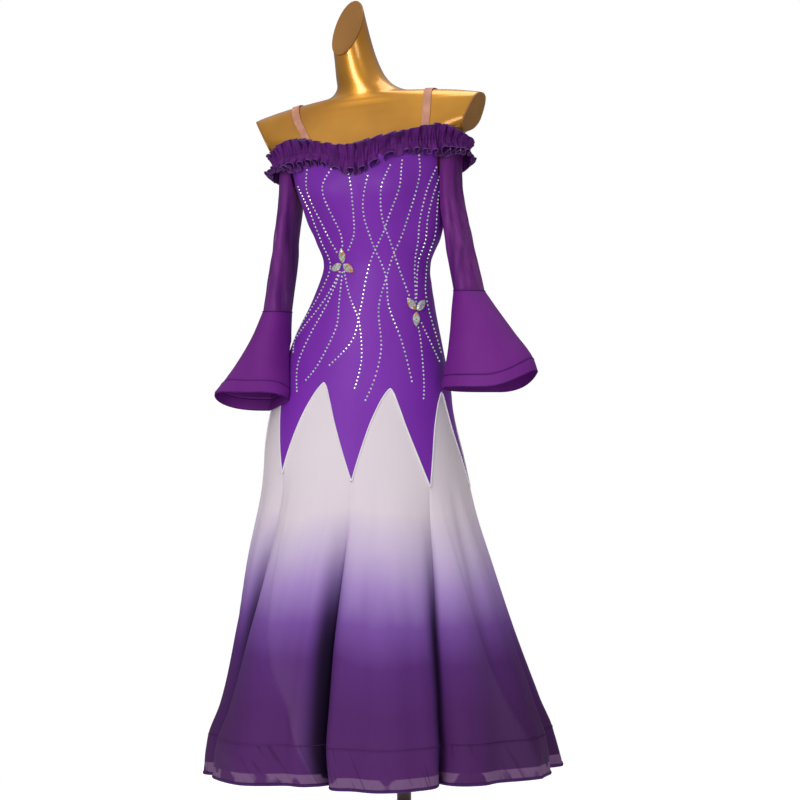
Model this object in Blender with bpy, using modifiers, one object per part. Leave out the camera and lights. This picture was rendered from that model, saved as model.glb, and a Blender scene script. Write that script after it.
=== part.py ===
"""Ballroom dance dress worn by a limbless dress form on a pole and a round base plate.

Metres, +Z up.  The dress faces -Y and the wearer's left hand side is at +X.  The origin is the centre
of the base plate's underside, on the pole's axis.

The body of the dress is described by stations, which are level cross-sections one above the other.
A place on the cloth is given by its height and by its turn, the angle round the body in degrees: 0 is
the centre front, 90 the wearer's left, 180 the centre back and -90 the wearer's right.
"""

import math
from collections import namedtuple

import bmesh
import bpy
from mathutils import Matrix, Vector
from mathutils.bvhtree import BVHTree

# Cloth and clearances
WALL = 0.0012
SEAM_GAP = 0.0003
SLANT_GAP = 0.0042  # the same gap measured downwards across a steep seam
EASE = 0.0056  # from the form's skin to the outer face of the bodice
SLEEVE_CLEARANCE = 0.0035

# Stations of the body and of the skirt's outer limit.  Roll tips a station's left side up, in degrees.
Station = namedtuple("Station", "height centre_x centre_y roll half_width front back")
SKIRT_ROWS = (
    Station(0.125, -0.0415, -0.015, 1.6, 0.363, 0.325, 0.330),
    Station(0.195, -0.0448, -0.016, 1.3, 0.348, 0.311, 0.316),
    Station(0.255, -0.0440, -0.018, 1.0, 0.322, 0.294, 0.300),
    Station(0.411, -0.0530, -0.020, -0.5, 0.274, 0.248, 0.256),
    Station(0.528, -0.0600, -0.022, -2.5, 0.243, 0.214, 0.224),
    Station(0.645, -0.0655, -0.024, -4.6, 0.212, 0.182, 0.193),
    Station(0.743, -0.0730, -0.025, -5.2, 0.195, 0.157, 0.169),
    Station(0.801, -0.0755, -0.025, -5.2, 0.183, 0.139, 0.153),
    Station(0.840, -0.0740, -0.025, -5.1, 0.175, 0.127, 0.144),
)
LEG_ROWS = (
    Station(0.560, -0.0700, -0.020, 0.0, 0.118, 0.082, 0.090),
    Station(0.640, -0.0710, -0.022, -5.0, 0.141, 0.098, 0.108),
    Station(0.720, -0.0720, -0.024, -5.0, 0.160, 0.110, 0.125),
    Station(0.800, -0.0745, -0.025, -5.1, 0.172, 0.119, 0.137),
    Station(0.840, -0.0750, -0.025, -5.1, 0.1735, 0.121, 0.140),
)
BODY_ROWS = (
    Station(0.868, -0.0710, -0.025, -5.0, 0.1695, 0.119, 0.137),
    Station(0.951, -0.0645, -0.027, -4.0, 0.147, 0.106, 0.118),
    Station(1.035, -0.0530, -0.029, -2.0, 0.119, 0.089, 0.094),
    Station(1.100, -0.0462, -0.030, 0.0, 0.105, 0.077, 0.080),
    Station(1.152, -0.0435, -0.030, 1.5, 0.124, 0.085, 0.084),
    Station(1.190, -0.0485, -0.030, 2.5, 0.136, 0.093, 0.089),
    Station(1.230, -0.0552, -0.029, 3.5, 0.142, 0.100, 0.093),
    Station(1.260, -0.0599, -0.028, 4.0, 0.148, 0.102, 0.095),
    Station(1.300, -0.0631, -0.024, 4.5, 0.158, 0.100, 0.094),
    Station(1.320, -0.0640, -0.021, 4.9, 0.171, 0.094, 0.091),
    Station(1.335, -0.0648, -0.018, 5.2, 0.192, 0.089, 0.087),
)
NECK_ROWS = (
    Station(1.350, -0.0660, -0.015, 5.4, 0.222, 0.083, 0.083),
    Station(1.365, -0.0670, -0.012, 5.4, 0.244, 0.076, 0.077),
    Station(1.392, -0.0680, -0.008, 5.4, 0.256, 0.064, 0.068),
    Station(1.404, -0.0685, -0.007, 5.4, 0.250, 0.060, 0.065),
    Station(1.411, -0.0690, -0.006, 5.4, 0.236, 0.058, 0.063),
    Station(1.418, -0.0695, -0.006, 5.4, 0.207, 0.056, 0.061),
    Station(1.4245, -0.0700, -0.005, 5.4, 0.172, 0.055, 0.059),
    Station(1.429, -0.0705, -0.005, 5.4, 0.135, 0.054, 0.058),
    Station(1.4345, -0.0715, -0.005, 5.4, 0.087, 0.053, 0.056),
    Station(1.444, -0.0755, -0.005, 5.4, 0.068, 0.052, 0.054),
    Station(1.455, -0.0805, -0.005, 5.4, 0.058, 0.051, 0.053),
    Station(1.470, -0.0870, -0.006, 5.4, 0.053, 0.050, 0.051),
    Station(1.510, -0.0970, -0.010, 5.4, 0.046, 0.046, 0.047),
    Station(1.560, -0.1060, -0.016, 5.4, 0.042, 0.043, 0.044),
    Station(1.600, -0.1135, -0.020, 5.4, 0.0405, 0.042, 0.043),
    Station(1.660, -0.1280, -0.026, 5.4, 0.040, 0.041, 0.042),
)
DRESS_ROWS = SKIRT_ROWS + BODY_ROWS + NECK_ROWS
FORM_ROWS = LEG_ROWS + BODY_ROWS + NECK_ROWS

WAIST_HEIGHT = 1.100

# Bust cups, raised on the stations
CUP_TURN = 27.0
CUP_HEIGHT = 1.238
CUP_RAISE = 0.015
CUP_SPREAD_TURN = 19.0
CUP_SPREAD_HEIGHT = 0.042

# Neckline of the bodice
NECKLINE_HEIGHT = 1.326
NECKLINE_DIP = 0.026
NECKLINE_DIP_TURN = 20.0
BACK_NECKLINE_DROP = 0.050
ARMHOLE_START_TURN = 60.0
ARMPIT_HEIGHT = 1.215

# Points of the bodice and peaks of the skirt's gores, along the seam between them
GORES = 8
SECTOR = 360.0 / GORES
FIRST_POINT_TURN = 6.0  # the point beside the centre front
PEAK_HEIGHT = 0.869
POINT_HEIGHT = 0.688
BODICE_COLUMNS = 8  # to a gore
PEAK_CURVE = 1.4  # 1 is a straight-sided point, more is a rounder peak

# Folds of the skirt.  One valley falls from each point of the bodice.
HEM_HEIGHT = 0.125
BAND_SEAM_HEIGHT = HEM_HEIGHT + 0.074
FOLD_START_HEIGHT = 0.705
FOLD_GROWTH = 0.95
VALLEY_SQUEEZE = 0.72  # how much the valleys narrow towards the hem
CREST_ROUNDNESS = 0.62
# One valley to each point, counted to the left: how far it has turned at the hem, how much further it
# swings on its way down, and its depth at the hem
Valley = namedtuple("Valley", "shift swing depth")
VALLEYS = (
    Valley(-11.0, -6.5, 0.105),
    Valley(-15.0, 0.0, 0.085),
    Valley(-2.0, 8.0, 0.080),
    Valley(-1.5, 2.0, 0.095),
    Valley(-8.5, 0.0, 0.105),
    Valley(-5.0, 0.0, 0.090),
    Valley(-15.0, -5.0, 0.085),
    Valley(-25.0, -9.0, 0.090),
)
# The soft fold inside each gore: where it lies across the gore, from 0 to 1, its width and its depth.
# The hem of the gore hangs lower by its drop.
SoftFold = namedtuple("SoftFold", "place width depth drop")
SOFT_FOLDS = (
    SoftFold(0.34, 0.10, 0.012, 0.003),
    SoftFold(0.42, 0.09, 0.030, 0.002),
    SoftFold(0.55, 0.11, 0.022, 0.001),
    SoftFold(0.46, 0.10, 0.026, 0.002),
    SoftFold(0.58, 0.09, 0.024, 0.003),
    SoftFold(0.40, 0.10, 0.028, 0.001),
    SoftFold(0.52, 0.10, 0.022, 0.002),
    SoftFold(0.66, 0.08, 0.028, -0.003),
)
GORE_COLUMNS = 12
GORE_ROWS = 8
BAND_ROWS = 1

# Sleeves.  Their stations are ovals; height and centre are of the station, before the body's roll.
ArmStation = namedtuple("ArmStation", "height centre_x centre_y half_x half_y")
SLEEVE_ROWS = {
    "right": (
        ArmStation(1.288, -0.2220, -0.015, 0.024, 0.046),
        ArmStation(1.230, -0.2270, -0.016, 0.021, 0.047),
        ArmStation(1.166, -0.2340, -0.021, 0.0195, 0.048),
        ArmStation(1.100, -0.2380, -0.030, 0.0235, 0.048),
        ArmStation(1.012, -0.2425, -0.050, 0.0255, 0.046),
    ),
    "left": (
        ArmStation(1.318, 0.0935, -0.014, 0.0245, 0.046),
        ArmStation(1.250, 0.0983, -0.015, 0.021, 0.047),
        ArmStation(1.178, 0.1110, -0.021, 0.0225, 0.048),
        ArmStation(1.113, 0.1255, -0.030, 0.0265, 0.048),
        ArmStation(1.049, 0.1410, -0.040, 0.0285, 0.046),
    ),
}
BELL_ROWS = {
    "right": (
        ArmStation(1.012, -0.2425, -0.050, 0.0260, 0.0465),
        ArmStation(0.965, -0.2483, -0.068, 0.036, 0.051),
        ArmStation(0.918, -0.2551, -0.088, 0.051, 0.056),
        ArmStation(0.879, -0.2628, -0.105, 0.066, 0.060),
        ArmStation(0.855, -0.2690, -0.117, 0.076, 0.063),
    ),
    "left": (
        ArmStation(1.049, 0.1410, -0.040, 0.0290, 0.0465),
        ArmStation(1.016, 0.1535, -0.050, 0.0425, 0.051),
        ArmStation(0.969, 0.1720, -0.062, 0.0616, 0.057),
        ArmStation(0.916, 0.1905, -0.075, 0.0840, 0.063),
        ArmStation(0.865, 0.1960, -0.086, 0.0955, 0.068),
    ),
}
CUFF_BAND_DEPTH = 0.023
CUFF_BACK_DROP = {"right": 0.036, "left": 0.010}
CUFF_OUTER_RISE = {"right": 0.006, "left": 0.036}
ARMPIT_DROP = 0.075  # how far the sleeve's top dips under the arm
SLEEVE_FOLDS = 3
SLEEVE_FOLD_DEPTH = 0.0035
ARM_COLUMNS = 20

# Gathered ruffle round the neckline and over both sleeves
RUFFLE_WAVES = 54
RUFFLE_COLUMNS_PER_WAVE = 4
RUFFLE_WALL = 0.0010
RUFFLE_STAND_OFF = 0.0062
RUFFLE_SLEEVE_BULGE = 0.033
RUFFLE_SLEEVE_FLATTEN = 0.30  # how much lower the ruffle stands over a sleeve
RUFFLE_SLEEVE_TURN = 103.0
RUFFLE_SLEEVE_SPREAD_TURN = 30.0
# Rows of the ruffle from its top edge to its bottom edge
RuffleRow = namedtuple("RuffleRow", "rise lean wave phase")
RUFFLE_ROWS = (
    RuffleRow(0.023, 0.009, 0.0065, 0.0),
    RuffleRow(0.004, 0.000, 0.0012, 0.0),
    RuffleRow(-0.004, 0.000, 0.0012, 2.2),
    RuffleRow(-0.022, 0.011, 0.0075, 2.2),
)

# Elastic shoulder straps
STRAP_WIDTH = 0.015
STRAP_WALL = 0.0012
STRAP_FORM_GAP = 0.0022
STRAP_CENTRE_HEIGHT = 1.350
STRAP_FRONT_ANGLE = -32.0
STRAP_BACK_ANGLE = 206.0
STRAP_STEPS = 24
# How far a strap lies from the form's middle, at its ends and at the top of the shoulder
StrapPlace = namedtuple("StrapPlace", "side ends top")
STRAP_PLACES = {"left": StrapPlace(1.0, 0.130, 0.133), "right": StrapPlace(-1.0, 0.105, 0.138)}

# Cut faces of the form: the arms and the neck
ARM_CUT_OFFSET = 0.202
ARM_CUT_HEIGHT = 1.352
ARM_CUT_TILT = 22.0
ARM_CUT_FORWARD = 0.20
NECK_CUT_POINT = Vector((-0.102, 0.010, 1.619))
NECK_CUT_NORMAL = Vector((-0.429, -0.784, 0.447))
CAP_THICKNESS = 0.003
FORM_COLUMNS = 28

# Stand
BASE_RADIUS = 0.190
BASE_THICKNESS = 0.009
BASE_BEVEL = 0.003
POLE_RADIUS = 0.014
SOCKET_RADIUS = 0.034
SOCKET_THICKNESS = 0.012
FORM_FOOT_HEIGHT = 0.560

# The two flowers of three pointed oval stones on the bodice
STONE_THICKNESS = 0.0045
STONE_GAP = 0.0028
STONE_MIDDLE = 0.0165  # from the flower's middle to a stone's middle
STONE_TABLE = 0.45  # share of each stone that its flat top takes
GIRDLE_SHARE = 0.4  # height of the widest part, as a share of the thickness
StoneCorner = namedtuple("StoneCorner", "off_axis reach")
STONE_OUTLINE = (
    StoneCorner(-60.0, 0.0034),
    StoneCorner(-27.0, 0.0135),
    StoneCorner(-15.0, 0.0235),
    StoneCorner(0.0, 0.0300),
    StoneCorner(15.0, 0.0235),
    StoneCorner(27.0, 0.0135),
)
Flower = namedtuple("Flower", "name turn height stone_angles")
FLOWERS = (
    Flower("waist", -26.8, 1.101, (88, 208, 326)),
    Flower("hip", 55.2, 1.0145, (142, 30, 262)),
)


def slopes(rows, values):
    """Slopes of a smooth line through the values that never swings past them."""
    steps = [(b - a) / (s.height - r.height) for a, b, r, s in zip(values, values[1:], rows, rows[1:])]
    inner = [0.0 if a * b <= 0 else 2 * a * b / (a + b) for a, b in zip(steps, steps[1:])]
    return [steps[0], *inner, steps[-1]]


def station_at(rows, height):
    """The station of a table at any height, smoothly between its rows."""
    rows = sorted(rows)
    height = min(max(height, rows[0].height), rows[-1].height)
    n = max(i for i, row in enumerate(rows[:-1]) if row.height <= height)
    span = rows[n + 1].height - rows[n].height
    t = (height - rows[n].height) / span
    found = [height]
    for column in range(1, len(rows[0])):
        values = [row[column] for row in rows]
        slope = slopes(rows, values)
        found.append(
            values[n] * (1 + 2 * t) * (1 - t) ** 2
            + values[n + 1] * t * t * (3 - 2 * t)
            + slope[n] * span * t * (1 - t) ** 2
            - slope[n + 1] * span * t * t * (1 - t)
        )
    return type(rows[0])(*found)


def wrapped(turn):
    """A turn brought between -180 and 180."""
    return (turn + 180.0) % 360.0 - 180.0


def bump(distance, spread):
    """1 at no distance, falling smoothly to 0."""
    return math.exp(-((distance / spread) ** 2))


def eased(share):
    """0 to 1 with level ends."""
    share = min(max(share, 0.0), 1.0)
    return share * share * (3 - 2 * share)


def mixed(a, b, share):
    return a + (b - a) * share


def cup_raise(turn, height):
    beside = bump(abs(wrapped(turn)) - CUP_TURN, CUP_SPREAD_TURN)
    return CUP_RAISE * beside * bump(height - CUP_HEIGHT, CUP_SPREAD_HEIGHT)


def body_point(rows, turn, height, out=0.0):
    """The point of a station's oval at a turn, moved out from the body."""
    station = station_at(rows, height)
    angle = math.radians(turn)
    out = out + cup_raise(turn, height)
    depth = station.front if math.cos(angle) > 0 else station.back
    across = (station.half_width + out) * math.sin(angle)
    ahead = -(depth + out) * math.cos(angle)
    roll = math.radians(station.roll)
    return Vector(
        (
            station.centre_x + across * math.cos(roll),
            station.centre_y + ahead,
            height + across * math.sin(roll),
        )
    )


def neckline_height(turn):
    """Height of the gather line, which the bodice's top edge follows away from the armholes."""
    turn = abs(wrapped(turn))
    dip = NECKLINE_DIP * bump(turn, NECKLINE_DIP_TURN)
    drop = BACK_NECKLINE_DROP * eased((turn - 50.0) / 110.0)
    return NECKLINE_HEIGHT - dip - drop


def bodice_top(turn):
    """Height of the bodice's top edge, which dips under each arm."""
    off_side = abs(abs(wrapped(turn)) - 90.0)
    under_arm = 1.0 - eased(off_side / (90.0 - ARMHOLE_START_TURN))
    return mixed(neckline_height(turn), ARMPIT_HEIGHT, under_arm)


def from_peak(turn):
    """0 at a gore's peak and 1 at a point of the bodice."""
    return abs(((turn - FIRST_POINT_TURN) / SECTOR) % 1.0 - 0.5) * 2.0


def point_seam(turn, gap=0.0):
    """Height of the seam between the bodice's points and the gores' peaks, straight between columns."""
    column = (turn - FIRST_POINT_TURN) / SECTOR * BODICE_COLUMNS
    first = math.floor(column)
    turns = [FIRST_POINT_TURN + SECTOR * whole / BODICE_COLUMNS for whole in (first, first + 1)]
    ends = [from_peak(turn) ** PEAK_CURVE for turn in turns]
    lowered = gap * (0.3 + from_peak(turn))
    return mixed(PEAK_HEIGHT, POINT_HEIGHT, mixed(*ends, column - first)) - lowered


def fold_growth(height):
    """0 above the folds of the skirt and 1 at the hem."""
    share = (FOLD_START_HEIGHT - height) / (FOLD_START_HEIGHT - HEM_HEIGHT)
    return max(share, 0.0) ** FOLD_GROWTH


def gore_turn(gore, share, height, inset=0.0):
    """The turn of a place on a gore.  Lower down the crests widen and the valleys between them narrow."""
    left, right = VALLEYS[gore], VALLEYS[(gore + 1) % GORES]
    growth = fold_growth(height)
    along = share - VALLEY_SQUEEZE * growth * math.sin(2 * math.pi * share) / (2 * math.pi)
    turned, swung = growth**1.3, math.sin(math.pi * growth**1.5)
    start = FIRST_POINT_TURN + SECTOR * gore + left.shift * turned + left.swing * swung + inset
    end = FIRST_POINT_TURN + SECTOR * (gore + 1) + right.shift * turned + right.swing * swung - inset
    return mixed(start, end, along)


def skirt_point(gore, share, height, inset=0.0):
    """The point of a gore at a share of its width, 0 and 1 being its side seams."""
    growth = fold_growth(height)
    crest = math.sin(math.pi * share) ** CREST_ROUNDNESS
    fold = SOFT_FOLDS[gore]
    soft = fold.depth * bump(share - fold.place, fold.width)
    depth = mixed(VALLEYS[gore].depth, VALLEYS[(gore + 1) % GORES].depth, share)
    inwards = (depth * (1.0 - crest) + soft) * growth
    return body_point(DRESS_ROWS, gore_turn(gore, share, height, inset), height, -inwards)


def mesh_object(name, mesh, collection, material):
    mesh.materials.append(material)
    made = bpy.data.objects.new(name, mesh)
    collection.objects.link(made)
    return made


def loft(name, rows, collection, material, closed=False, smooth=True):
    """A surface through rows of points that run from top to bottom and turn to the left as seen from above."""
    shape = bmesh.new()
    grid = [[shape.verts.new(point) for point in row] for row in rows]
    count = len(rows[0])
    last = count if closed else count - 1
    for upper, lower in zip(grid, grid[1:]):
        for c in range(last):
            d = (c + 1) % count
            shape.faces.new((upper[c], lower[c], lower[d], upper[d]))
    mesh = bpy.data.meshes.new(name)
    shape.to_mesh(mesh)
    shape.free()
    if smooth:
        mesh.shade_smooth()
    return mesh_object(name, mesh, collection, material)


def give_wall(obj, thickness, outwards=False):
    """Turns an open surface into a wall of cloth."""
    solidify = obj.modifiers.new("wall", "SOLIDIFY")
    solidify.thickness = thickness
    solidify.offset = 1.0 if outwards else -1.0
    solidify.use_quality_normals = True
    return obj


def between(first, last, steps):
    return [mixed(first, last, n / steps) for n in range(steps + 1)]


def seam_turn(height):
    """A seam gap at the body's side, as a turn."""
    return math.degrees(SEAM_GAP / station_at(DRESS_ROWS, height).front)


def bodice_panel(name, first_turn, collection, material, rows=12):
    """Front or back of the bodice, from one side seam to the other, with its points below."""
    inset = seam_turn(WAIST_HEIGHT)
    sectors = round(180.0 / SECTOR)
    turns = between(first_turn, first_turn + 180.0, sectors * BODICE_COLUMNS)
    turns[0] += inset
    turns[-1] -= inset
    surface = []
    for share in between(0.0, 1.0, rows):
        heights = [mixed(bodice_top(turn), point_seam(turn), share) for turn in turns]
        surface.append([body_point(DRESS_ROWS, t, h) for t, h in zip(turns, heights)])
    return give_wall(loft(name, surface, collection, material), WALL)


def skirt_gore(gore, collection, material):
    """One gore of the skirt, from the bodice's points down to the hem band."""
    surface = []
    for level in between(0.0, 1.0, GORE_ROWS):
        row = []
        for share in between(0.0, 1.0, GORE_COLUMNS):
            height = mixed(gore_top(gore, share), BAND_SEAM_HEIGHT, level)
            row.append(skirt_point(gore, share, height, seam_turn(height)))
        surface.append(row)
    return give_wall(loft(f"skirt_gore_{gore + 1}", surface, collection, material), WALL)


def gore_top(gore, share):
    """Height of a gore's top edge, just under the bodice's points."""
    height = point_seam(FIRST_POINT_TURN + SECTOR * (gore + share), SLANT_GAP)
    for _ in range(4):
        height = point_seam(gore_turn(gore, share, height, seam_turn(height)), SLANT_GAP)
    return height


def hem_height(gore, share):
    return HEM_HEIGHT - SOFT_FOLDS[gore].drop * math.sin(math.pi * share)


def build_hem_band(collection, material):
    """The band round the foot of the skirt, which follows the folds of all the gores."""
    surface = []
    for level in between(0.0, 1.0, BAND_ROWS):
        row = []
        for gore in range(GORES):
            for share in between(0.0, 1.0, GORE_COLUMNS)[:-1]:
                height = mixed(BAND_SEAM_HEIGHT - SEAM_GAP, hem_height(gore, share), level)
                row.append(skirt_point(gore, share, height))
        surface.append(row)
    band = give_wall(loft("hem_band", surface, collection, material, closed=True), WALL)
    band.modifiers["wall"].use_even_offset = True
    return band


def pushed_off_body(point):
    """Moves a point of a sleeve sideways out of the bodice and the hip, to just clear of them."""
    station = station_at(DRESS_ROWS, point.z)
    roll = math.radians(station.roll)
    station = station_at(DRESS_ROWS, point.z - (point.x - station.centre_x) * math.sin(roll))
    across = point.x - station.centre_x
    ahead = point.y - station.centre_y
    depth = (station.front if ahead < 0 else station.back) + SLEEVE_CLEARANCE
    reach = math.hypot(across / (station.half_width + SLEEVE_CLEARANCE), ahead / depth)
    if reach >= 1.0:
        return point
    return Vector((station.centre_x + across / reach, station.centre_y + ahead / reach, point.z))


def sleeve_point(rows, side, angle, height, fold_depth=0.0):
    """A point round a sleeve.  Angle 0 is its outer side, and 180 the side next to the body."""
    station = station_at(rows, height)
    outer = 1.0 if side == "left" else -1.0
    turn = math.radians(angle)
    trough = fold_depth * math.cos(SLEEVE_FOLDS * turn + 0.6) ** 3
    point = Vector(
        (
            station.centre_x + outer * (station.half_x + trough) * math.cos(turn),
            station.centre_y + (station.half_y + trough) * math.sin(turn) * outer,
            height,
        )
    )
    return pushed_off_body(point)


def sleeve_top(side, angle):
    """Height of a sleeve's top edge, which dips under the arm."""
    inner = 0.5 - 0.5 * math.cos(math.radians(angle))
    return SLEEVE_ROWS[side][0].height - ARMPIT_DROP * inner**1.5


def arm_tube(name, side, table, top, bottom, rows, collection, material, fold_depth=0.0):
    """A tube of a sleeve between two heights given by functions of the angle."""
    angles = [360.0 * n / ARM_COLUMNS for n in range(ARM_COLUMNS)]
    surface = []
    for level in between(0.0, 1.0, rows):
        calm = math.sin(math.pi * level)
        surface.append(
            [
                sleeve_point(table, side, a, mixed(top(a), bottom(a), level), fold_depth * calm)
                for a in angles
            ]
        )
    return give_wall(loft(name, surface, collection, material, closed=True), WALL)


def build_sleeve(side, collection, mesh_cloth, cloth):
    elbow = SLEEVE_ROWS[side][-1].height
    edge = BELL_ROWS[side][-1].height

    def hem_line(angle):
        """The cuff's edge, lower at the back and higher away from the body."""
        rear = 0.5 + 0.5 * math.sin(math.radians(angle)) * (1.0 if side == "left" else -1.0)
        outer = max(math.cos(math.radians(angle)), 0.0) ** 2
        return edge - CUFF_BACK_DROP[side] * eased(rear) + CUFF_OUTER_RISE[side] * outer

    arm_tube(
        f"sleeve_upper_{side}",
        side,
        SLEEVE_ROWS[side],
        lambda angle: sleeve_top(side, angle),
        lambda angle: elbow + SEAM_GAP / 2,
        6,
        collection,
        mesh_cloth,
        SLEEVE_FOLD_DEPTH,
    )
    arm_tube(
        f"sleeve_bell_{side}",
        side,
        BELL_ROWS[side],
        lambda angle: elbow - SEAM_GAP / 2,
        lambda angle: hem_line(angle) + CUFF_BAND_DEPTH,
        4,
        collection,
        cloth,
    )
    arm_tube(
        f"cuff_band_{side}",
        side,
        BELL_ROWS[side],
        lambda angle: hem_line(angle) + CUFF_BAND_DEPTH - SEAM_GAP * 1.5,
        hem_line,
        1,
        collection,
        cloth,
    )


def over_sleeve(turn):
    """1 where the ruffle crosses the top of a sleeve, falling to 0 away from it."""
    return bump(abs(wrapped(turn)) - RUFFLE_SLEEVE_TURN, RUFFLE_SLEEVE_SPREAD_TURN)


def ruffle_line(turn):
    """The gather line, round the bodice and outside the tops of the sleeves."""
    out = RUFFLE_STAND_OFF + RUFFLE_SLEEVE_BULGE * over_sleeve(turn)
    return body_point(DRESS_ROWS, turn, neckline_height(turn), out)


def build_ruffle(collection, material):
    columns = RUFFLE_WAVES * RUFFLE_COLUMNS_PER_WAVE
    line = [ruffle_line(360.0 * n / columns) for n in range(columns)]
    surface = []
    for row in RUFFLE_ROWS:
        points = []
        for n in range(columns):
            along = (line[(n + 1) % columns] - line[n - 1]).normalized()
            outwards = along.cross(Vector((0.0, 0.0, 1.0))).normalized()
            beat = 2 * math.pi * n / RUFFLE_COLUMNS_PER_WAVE
            swell = 1.0 + 0.25 * math.sin(2 * math.pi * 5 * n / columns)
            flatter = 1.0 - RUFFLE_SLEEVE_FLATTEN * over_sleeve(360.0 * n / columns)
            out = (row.lean + row.wave * swell * math.cos(beat + row.phase)) * flatter
            uneven = 1.0 + 0.10 * math.sin(2 * math.pi * 7 * n / columns + 1.0)
            points.append(line[n] + outwards * out + Vector((0.0, 0.0, row.rise * uneven * flatter)))
        surface.append(points)
    ruffle = loft("neckline_ruffle", surface, collection, material, closed=True)
    return give_wall(ruffle, RUFFLE_WALL)


def closed_loft(rows):
    """A bmesh through closed rows from top to bottom, with both ends filled."""
    shape = bmesh.new()
    grid = [[shape.verts.new(point) for point in row] for row in rows]
    count = len(rows[0])
    for upper, lower in zip(grid, grid[1:]):
        for c in range(count):
            d = (c + 1) % count
            shape.faces.new((upper[c], lower[c], lower[d], upper[d]))
    shape.faces.new(grid[0])
    shape.faces.new(list(reversed(grid[-1])))
    bmesh.ops.recalc_face_normals(shape, faces=shape.faces)
    return shape


def cut_away(shape, point, normal, above):
    """Removes what lies beyond a plane and above a height, closes the cut, and gives the cut's outline."""
    upper = [v for v in shape.verts if v.co.z > above and (v.co - point).dot(normal) > -0.06]
    edges = {e for v in upper for e in v.link_edges}
    faces = {f for v in upper for f in v.link_faces}
    verts = {v for f in faces for v in f.verts}
    bmesh.ops.bisect_plane(
        shape,
        geom=[*verts, *edges, *faces],
        dist=1e-6,
        plane_co=point,
        plane_no=normal,
        clear_outer=True,
    )
    rim = [e for e in shape.edges if e.is_boundary]
    made = bmesh.ops.holes_fill(shape, edges=rim)
    bmesh.ops.recalc_face_normals(shape, faces=shape.faces)
    return [v.co.copy() for v in made["faces"][0].verts]


def form_heights():
    """Levels of the form's rings, the closest where the shoulders turn over into the neck."""
    below = between(FORM_FOOT_HEIGHT, 0.980, 6) + between(1.010, 1.300, 10)
    shoulder = [row.height for row in NECK_ROWS if row.height < 1.46]
    neck = [1.320, 1.335, 1.380, 1.472, 1.490, 1.525, 1.570, 1.615, 1.660]
    return sorted(below + shoulder + neck, reverse=True)


def full_form():
    rows = []
    for height in form_heights():
        rows.append(
            [
                body_point(FORM_ROWS, 360.0 * n / FORM_COLUMNS, height, -EASE)
                for n in range(FORM_COLUMNS)
            ]
        )
    return closed_loft(rows)


def arm_cut(side):
    """Point and normal of the plane that ends a shoulder."""
    station = station_at(FORM_ROWS, ARM_CUT_HEIGHT)
    roll = Matrix.Rotation(-math.radians(station.roll), 3, "Y")
    point = roll @ Vector((side * ARM_CUT_OFFSET, 0.0, 0.0))
    tilt = math.radians(ARM_CUT_TILT)
    normal = roll @ Vector((side * math.cos(tilt), -ARM_CUT_FORWARD, -math.sin(tilt)))
    centre = Vector((station.centre_x, station.centre_y, ARM_CUT_HEIGHT))
    return centre + point, normal.normalized()


def object_from(shape, name, collection, material, smooth=True):
    mesh = bpy.data.meshes.new(name)
    shape.to_mesh(mesh)
    shape.free()
    if smooth:
        mesh.shade_smooth()
        mesh.set_sharp_from_angle(angle=math.radians(50.0))
    return mesh_object(name, mesh, collection, material)


def build_form(collection, gold, cap_plastic):
    """The form's torso, and the flat caps on its neck and arms."""
    cuts = {
        "neck_cap": (NECK_CUT_POINT, NECK_CUT_NORMAL.normalized(), 1.45),
        "arm_cap_left": (*arm_cut(1.0), 1.28),
        "arm_cap_right": (*arm_cut(-1.0), 1.28),
    }
    torso = full_form()
    for name, (point, normal, above) in cuts.items():
        outline = cut_away(torso, point, normal, above)
        near = [p + normal * SEAM_GAP for p in outline]
        far = [p + normal * (SEAM_GAP + CAP_THICKNESS) for p in outline]
        object_from(closed_loft([far, near]), name, collection, cap_plastic)
    return object_from(torso, "dress_form", collection, gold)


def tree_of(obj):
    mesh = obj.data
    faces = [list(face.vertices) for face in mesh.polygons]
    return BVHTree.FromPolygons([vertex.co.copy() for vertex in mesh.vertices], faces)


def strap_row(tree, angle, offset):
    """Points across a strap where it lies on the form, at an angle round the shoulder."""
    station = station_at(FORM_ROWS, STRAP_CENTRE_HEIGHT)
    roll = Matrix.Rotation(-math.radians(station.roll), 3, "Y")
    centre = Vector((station.centre_x, station.centre_y, STRAP_CENTRE_HEIGHT))
    turn = math.radians(angle)
    inwards = roll @ Vector((0.0, math.cos(turn), -math.sin(turn)))
    row = []
    for edge in (0.5, -0.5):
        across = roll @ Vector((offset + edge * STRAP_WIDTH, 0.0, 0.0))
        start = centre + across - inwards * 0.4
        hit, normal, _index, _distance = tree.ray_cast(start, inwards)
        row.append(hit + normal * STRAP_FORM_GAP)
    return row


def build_straps(form, collection, elastic):
    """Straps over the shoulders, from behind the front neckline to behind the back neckline."""
    tree = tree_of(form)
    for name, place in STRAP_PLACES.items():
        surface = []
        for angle in between(STRAP_FRONT_ANGLE, STRAP_BACK_ANGLE, STRAP_STEPS):
            top_share = max(math.sin(math.radians(angle)), 0.0)
            surface.append(strap_row(tree, angle, place.side * mixed(place.ends, place.top, top_share)))
        strap = loft(f"shoulder_strap_{name}", surface, collection, elastic)
        give_wall(strap, STRAP_WALL, outwards=True)


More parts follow.
